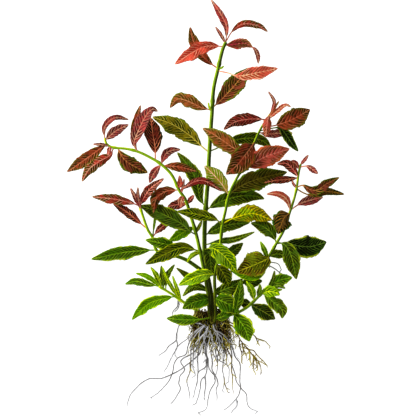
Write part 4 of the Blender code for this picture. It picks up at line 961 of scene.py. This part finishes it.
def leaf_material(finish):
    """A veined leaf: light veins that come and go, dark streaks between them, patches of the tip's colour,
    a broken rim and a paler underside."""
    material, nodes, shader = new_material("leaf_" + finish.name, 0.5, 0.02)
    base, tip, deep, vein, rim, under = (opaque(getattr(finish, part)) for part in FINISH_PARTS)
    rank, lateral = nodes.attribute("rank"), nodes.attribute("lateral")
    along, across = nodes.attribute("along"), abs(nodes.attribute("across"))
    spot = nodes.add("ShaderNodeTexCoord", output="Object")
    patch = nodes.noise(spot, PATCH_SCALE, 2.5)
    mottle = nodes.noise(spot, MOTTLE_SCALE, 3.0)
    wavy = rank + (mottle - 0.5) * 0.5 + (patch - 0.5) * 1.2
    streak_place = nodes.vector(
        "ADD", nodes.joined(wavy * 1.9, lateral * 0.22, 0.0), nodes.scaled(spot, STREAK_SCALE))
    streak = nodes.noise(streak_place, 1.0, 2.5)
    gap = nodes.math("PINGPONG", wavy, 0.5)
    rise = nodes.math("FRACT", wavy)
    side_vein = 1 - nodes.smooth(gap + (streak - 0.5) * 0.4, *SIDE_VEINS)
    side_vein = side_vein * (1 - nodes.smooth(across, 0.8, 1.0))
    midrib = 1 - nodes.smooth(abs(lateral), *MIDRIB_EDGE)
    tip_share = along * 0.6 + across * 0.5 + (patch - 0.5) * 2.4 + (streak - 0.5) * 1.6
    blade = nodes.mix(nodes.smooth(tip_share, *TIP_PATCHES), base, tip)
    # Deeper streaks: partly random patches, and partly painted shade that rises across each panel to the next
    # vein.
    streaks_and_painted_shade = nodes.smooth(rise * 0.5 + (streak - 0.5) * 1.8 + (patch - 0.5) * 2.2, *STREAKS_AND_PAINTED_SHADE)
    streaks_and_painted_shade = streaks_and_painted_shade * nodes.smooth(1 - rise, 0.0, 0.12) * (1 - nodes.smooth(across, 0.6, 0.95) * 0.7)
    # Their colour: mostly the finish's own deeper colour, partly a painted shade copy of the blade.
    deep_and_painted_shade_colour = nodes.mix(0.8, nodes.scaled(blade, 0.3), deep)
    blade_with_streaks_and_painted_shade = nodes.mix(streaks_and_painted_shade * 0.95 * (1 - midrib), blade, deep_and_painted_shade_colour)
    # Painted highlight: the veins' pale strokes come and go with the glint noise, over their own pale colour.
    glint = nodes.smooth(streak + (patch - 0.5) * 1.2, *GLINTS) * 0.65 + 0.1
    vein_share = nodes.math("MAXIMUM", side_vein * glint, midrib * (0.3 + glint * 0.45))
    veined = nodes.mix(vein_share, blade_with_streaks_and_painted_shade, vein)
    rim_share = nodes.smooth(across, *RIM) * nodes.smooth(patch + (mottle - 0.5) * 0.6, *RIM_BREAKS)
    rimmed = nodes.mix(rim_share * 0.85, veined, rim)
    turned = nodes.mix(nodes.attribute("underside") * 0.6, rimmed, under)
    roughness = 0.42 + mottle * 0.16 + side_vein * 0.08
    relief = streak * 0.6 + mottle * 0.3 - side_vein * 0.4
    paint(nodes, shader, nodes.scaled(turned, nodes.attribute("shade")), roughness, relief, 0.5, 0.5 * MM)
    return material


def stem_material():
    """A smooth stem: yellow-green along its ridges and sunny side, darker in its grooves and with age."""
    material, nodes, shader = new_material("stem_skin", 0.4, 0.08)
    painted_sun_colour, green_colour, painted_shade_colour, old_colour = map(paint_of, STEM_COLOURS)
    ridge, sunlit = nodes.attribute("ridge"), nodes.attribute("sunlit")
    spot = nodes.add("ShaderNodeTexCoord", output="Object")
    streak = nodes.noise(spot, 160.0, 3.0)
    # Painted light and shade: the stored painted light, ridges a little lighter than grooves, and random
    # streaks.
    painted_lit = sunlit + (ridge - 0.5) * 0.25 + (streak - 0.5) * 0.7
    green = nodes.mix(nodes.smooth(painted_lit, *STEM_PAINTED_SHADE_TO_GREEN), painted_shade_colour, green_colour)
    painted_sunny = nodes.mix(nodes.smooth(painted_lit, *STEM_PAINTED_SUN) * 0.9, green, painted_sun_colour)
    x, y, _ = nodes.parts(spot)
    low_down = 1 - nodes.smooth(y + (streak - 0.5) * 0.05, 0.0, AGED_LENGTH)
    aged = nodes.mix(low_down * (1 - nodes.smooth(abs(x), *AGED_WIDTH)) * 0.8, painted_sunny, old_colour)
    paint(nodes, shader, aged, 0.32 + streak * 0.2, streak, 0.25, 0.3 * MM)
    return material


def root_material(finish, wash):
    """Root skin, mottled with darker and lighter spots, and lighter by the wash on the clump."""
    skin, dark_spot, light_spot = map(paint_of, ROOT_FINISHES[finish])
    material, nodes, shader = new_material(finish + "_skin", 0.7, 0.15)
    along, tone = nodes.attribute("along"), nodes.attribute("tone")
    spot = nodes.add("ShaderNodeTexCoord", output="Object")
    mottle = nodes.noise(spot, 260.0, 4.0)
    darkened = nodes.mix(nodes.smooth(mottle - (tone - 0.5) * 0.2, 0.42, 0.6), skin, dark_spot)
    lightened = nodes.mix(nodes.smooth(tone + (mottle - 0.5) * 0.8, 0.62, 0.72), darkened, light_spot)
    _, _, height = nodes.parts(spot)
    on_clump = nodes.smooth(height, 0.006, 0.014) * nodes.smooth(along, 0.0, 0.02)
    washed = nodes.mix(on_clump * wash, lightened, light_spot)
    tipped = nodes.mix(nodes.smooth(along, 0.7, 1.0) * 0.5, washed, light_spot)
    paint(nodes, shader, tipped, 0.6 + mottle * 0.3, mottle, 0.4, 0.3 * MM)
    return material


def settings():
    return bpy.context.scene.hygrophila


def kept(kind, name, make):
    """The tree or material of that name, made the first time that it is asked for."""
    found = kind.get(name)
    return found if found is not None else make()


def hand_over(piece, node):
    """Rides the piece on the plant's one body, in place of a node of the frame and in that node's slot."""
    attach(piece, BODY)
    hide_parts(node)


def from_stem(stem, points):
    """The midrib's points, with the first one on the stem's centre line where it is near the stem."""
    start = Vector(points[0])
    centre_line = smooth_path(places(STEMS[stem][-1]), STEM_POINTS)
    nearest = min(centre_line, key=lambda place: (place - start).length)
    return [nearest if (nearest - start).length < 8 else start, *points[1:]]


def make_leaf(name, stem, row, full=True):
    """A leaf in its finish, with its first point on its stem. Young leaves have fewer points."""
    finish, shade, width, roll, fold, stalk, path = row
    leaf = settings().leaf
    midrib = from_stem(stem, places(path))
    length = length_of(midrib) * MM
    size = min(width / USUAL_WIDTH, 1.2)
    chance = sum(map(ord, name))
    tree = kept(bpy.data.node_groups, "leaf on its midrib", leaf_tree)
    skin = kept(bpy.data.materials, "leaf_" + finish, lambda: leaf_material(settings().finishes[finish]))
    return shaped(name, route(name, [smooth_path(midrib, PATH_POINTS)]), tree, {
        "Width": width * MM, "Roll": math.radians(roll), "Fold": math.radians(fold * leaf.folding),
        "Stalk": stalk, "Vein Pairs": length * (1 - stalk) / (leaf.pairs_spacing * (0.75 + 0.25 * size)),
        "Blade": leaf.blade, "Midrib": leaf.midrib * size, "Quilt": leaf.quilt * size,
        "Ripple": leaf.ripple * size, "Ripples": max(length / (16 * MM), 1.0), "Scallop": leaf.scallop,
        "Phase": (chance % 60) / 10, "Twist": math.radians(chance % 41 - 20), "Shade": shade,
        "Rows": leaf.rows if full else max(round(leaf.rows * 0.45), 20),
        "Columns": leaf.columns if full else 13, "Material": skin,
    })


def make_stem(stem):
    """A stem with its young leaves grown on it, in place of its node."""
    foot, tip, foot_painted_light, tip_painted_light, nodes_at, path = STEMS[stem]
    points = places(path)
    shape = settings().stem
    count = max(round(length_of(points) / 1.6), 20)
    girths = []
    for step in range(count + 1):
        share = step / count
        near = min(abs(share - at) for at in nodes_at) * length_of(points)
        girths.append((foot + (tip - foot) * share) * (1 + shape.node_swell * math.exp(-((near / 2.2) ** 2))))
    tree = kept(bpy.data.node_groups, "ridged stem", stem_tree)
    skin = kept(bpy.data.materials, "stem_skin", stem_material)
    rod = shaped(stem + "_rod", route(stem, [smooth_path(points, count)], [girths]), tree, {
        "Sides": shape.sides, "Fluting": shape.fluting, "Foot Painted Light": foot_painted_light, "Tip Painted Light": tip_painted_light,
        "Material": skin})
    young = [
        make_leaf(f"{stem}_young_{number}", stem, row, full=False)
        for number, row in enumerate(YOUNG_LEAVES[stem], 1)
    ]
    with bpy.context.temp_override(active_object=rod, selected_editable_objects=[rod, *young]):
        bpy.ops.object.join()
    hand_over(rod, stem)


def make_roots(name, mesh, tree, wash, values):
    """Roots that the tree grows from the mesh, in place of the roots' node."""
    hand_over(shaped(name, mesh, tree, {
        **values, "Seed": settings().root.seed, "Material": root_material(name, wash)}), "roots")


def make_strands(name, values):
    """Strands fanned out from the crown."""
    tree = kept(bpy.data.node_groups, "fanned strands", strand_tree)
    make_roots(name, bpy.data.meshes.new(name), tree, 0.0, values)


def laid(point):
    """The point at the height where a root lies, on the clump or the ground, unless it has its own."""
    x, y, *z = point
    bulge = max(0, 1 - math.hypot(x - CLUMP_MIDDLE[0], y - CLUMP_MIDDLE[1]) ** 2 / CLUMP_RADIUS**2)
    return (x, y, z[0] if z else 1 + CLUMP_HEIGHT * bulge)


def make_long_roots(name, routes, values):
    """Roots along their routes."""
    paths = []
    for text in routes:
        points = [laid(point) for point in places(text)]
        paths.append(smooth_path(points, max(round(length_of(points) / 1.5), 8)))
    tree = kept(bpy.data.node_groups, "long roots", long_root_tree)
    make_roots(name, route(name, paths), tree, 0.55, values)


class LeavesOperator:
    """What the operators that make a stem's full leaves share."""

    bl_options = {"REGISTER", "UNDO"}
    stem = ""

    def execute(self, context):
        for name, *row in LEAVES[self.stem]:
            hand_over(make_leaf("blade_" + name, self.stem, row), "leaf_" + name)
        return {"FINISHED"}


def leaves_operator(stem):
    """The operator that makes the full leaves of that stem."""
    words = stem.replace("_", " ")
    return type(f"HYGROPHILA_OT_{stem}_leaves", (LeavesOperator, bpy.types.Operator), {
        "__doc__": f"Makes the full leaves of the {words}", "bl_idname": f"hygrophila.{stem}_leaves",
        "bl_label": f"{words.title()} Leaves", "stem": stem})


class HYGROPHILA_OT_stems(bpy.types.Operator):
    """Makes the stems, each with its young leaves grown on it"""

    bl_idname = "hygrophila.stems"
    bl_label = "Stems and Young Leaves"
    bl_options = {"REGISTER", "UNDO"}

    def execute(self, context):
        for stem in STEMS:
            make_stem(stem)
        return {"FINISHED"}


class HYGROPHILA_OT_clump_roots(bpy.types.Operator):
    """Makes the matted clump of roots under the crown"""

    bl_idname = "hygrophila.clump_roots"
    bl_label = "Root Clump"
    bl_options = {"REGISTER", "UNDO"}

    def execute(self, context):
        root = settings().root
        make_strands("clump_roots", {
            "Strands": root.strands, "Reach": root.reach, "Girth": root.girth,
            "Low": (-19 * MM, -17 * MM, 1 * MM), "High": (15 * MM, 13 * MM, 16 * MM),
            "Fan": 12.0, "Dip": 0.25, "Wander": 9 * MM, "Rootlets": 4, "Rootlet Reach": 5 * MM})
        return {"FINISHED"}


class HYGROPHILA_OT_pale_threads(bpy.types.Operator):
    """Makes the pale threads that run over the clump and down from it"""

    bl_idname = "hygrophila.pale_threads"
    bl_label = "Pale Threads"
    bl_options = {"REGISTER", "UNDO"}

    def execute(self, context):
        root = settings().root
        make_strands("pale_threads", {
            "Strands": root.threads, "Reach": root.thread_reach, "Girth": root.thread_girth,
            "Low": (-17 * MM, -14 * MM, 12 * MM), "High": (12 * MM, 0 * MM, 17 * MM),
            "Fan": 16.0, "Dip": 0.35, "Wander": 18 * MM, "Rootlets": 2, "Rootlet Reach": 7 * MM})
        return {"FINISHED"}


class HYGROPHILA_OT_long_roots(bpy.types.Operator):
    """Makes the long grey roots that run out of the clump"""

    bl_idname = "hygrophila.long_roots"
    bl_label = "Long Roots"
    bl_options = {"REGISTER", "UNDO"}

    def execute(self, context):
        make_long_roots("long_roots", LONG_ROOTS, {
            "Girth": settings().root.long_girth, "Rootlets": 2, "Rootlet Reach": 6 * MM, "Wander": 2.5 * MM})
        return {"FINISHED"}


class HYGROPHILA_OT_olive_twigs(bpy.types.Operator):
    """Makes the stiffer olive roots that branch like twigs"""

    bl_idname = "hygrophila.olive_twigs"
    bl_label = "Olive Twigs"
    bl_options = {"REGISTER", "UNDO"}

    def execute(self, context):
        make_long_roots("olive_twigs", TWIGS, {
            "Girth": settings().root.long_girth * 0.94, "Rootlets": 5, "Rootlet Reach": 8 * MM,
            "Wander": 2.5 * MM})
        return {"FINISHED"}


class HYGROPHILA_OT_stage(bpy.types.Operator):
    """Makes the floor, the lights and the camera that looks straight down"""

    bl_idname = "hygrophila.stage"
    bl_label = "Stage"
    bl_options = {"REGISTER", "UNDO"}

    def execute(self, context):
        stage = settings().stage
        scene = context.scene
        sheet = bpy.data.meshes.new("floor")
        sheet.from_pydata([
            (-FLOOR_HALF, -FLOOR_HALF, 0), (FLOOR_HALF, -FLOOR_HALF, 0), (FLOOR_HALF, FLOOR_HALF, 0),
            (-FLOOR_HALF, FLOOR_HALF, 0)], [], [(0, 1, 2, 3)])
        material, _, shader = new_material("floor_paint", 0.9, 0)
        shader.inputs["Base Color"].default_value = opaque(stage.floor)
        shader.inputs["Emission Color"].default_value = WHITE
        shader.inputs["Emission Strength"].default_value = stage.glow
        sheet.materials.append(material)
        added("floor", sheet)

        sky = bpy.data.worlds.new("studio")
        sky.use_nodes = True
        light = sky.node_tree.nodes["Background"]
        light.inputs["Color"].default_value = WHITE
        light.inputs["Strength"].default_value = stage.sky
        scene.world = sky

        lamp = bpy.data.lights.new("key_light", "AREA")
        lamp.energy = stage.key
        lamp.size = KEY_SIZE
        key = added("key_light", lamp)
        key.location = KEY_PLACE
        key.rotation_euler = (Vector(KEY_TARGET) - key.location).to_track_quat("-Z", "Y").to_euler()

        view = bpy.data.cameras.new("camera")
        view.lens = stage.lens
        view.sensor_width = SENSOR
        view.clip_end = 100
        scene.camera = added("camera", view)
        scene.camera.location = Vector(PHOTO_MIDDLE) + Vector((0, 0, PHOTO_WIDTH * stage.lens / SENSOR))
        scene.view_settings.view_transform = "Standard"
        scene.view_settings.look = "Medium High Contrast"
        return {"FINISHED"}


class HYGROPHILA_PT_panel(bpy.types.Panel):
    """Lists the plant's pieces and their sizes and colours"""

    bl_idname = "HYGROPHILA_PT_panel"
    bl_label = "Sunset Hygrophila"
    bl_space_type = "VIEW_3D"
    bl_region_type = "UI"
    bl_category = "Hygrophila"

    def draw(self, context):
        plant = context.scene.hygrophila
        for operator in OPERATORS:
            self.layout.operator(operator.bl_idname)
        boxes = [(label, getattr(plant, label)) for label in ("leaf", "stem", "root", "stage")]
        for label, group in boxes + [(finish.name, finish) for finish in plant.finishes]:
            box = self.layout.box()
            box.label(text=label)
            for name in group.bl_rna.properties.keys():
                if name not in ("rna_type", "name"):
                    box.prop(group, name)


OPERATORS = (
    HYGROPHILA_OT_stage,
    HYGROPHILA_OT_stems,
    *map(leaves_operator, STEMS),
    HYGROPHILA_OT_clump_roots,
    HYGROPHILA_OT_pale_threads,
    HYGROPHILA_OT_long_roots,
    HYGROPHILA_OT_olive_twigs,
)
CLASSES = (
    FinishColours, LeafSettings, StemSettings, RootSettings, StageSettings, PlantSettings, *OPERATORS,
    HYGROPHILA_PT_panel,
)


def register():
    for each in CLASSES:
        bpy.utils.register_class(each)
    bpy.types.Scene.hygrophila = bpy.props.PointerProperty(
        type=PlantSettings, name="Hygrophila", description="Settings of the plant and its stage")


def unregister():
    del bpy.types.Scene.hygrophila
    for each in reversed(CLASSES):
        bpy.utils.unregister_class(each)


def fill_finishes():
    """Puts the table's leaf finishes in the scene's settings."""
    finishes = settings().finishes
    finishes.clear()
    for name, colours in FINISHES.items():
        item = finishes.add()
        item.name = name
        for part, triple in zip(FINISH_PARTS, colours):
            setattr(item, part, colour_of(triple))


def main():
    register()
    fill_finishes()
    for operator in OPERATORS:
        group, name = operator.bl_idname.split(".")
        getattr(getattr(bpy.ops, group), name)()


if __name__ == "__main__":
    main()
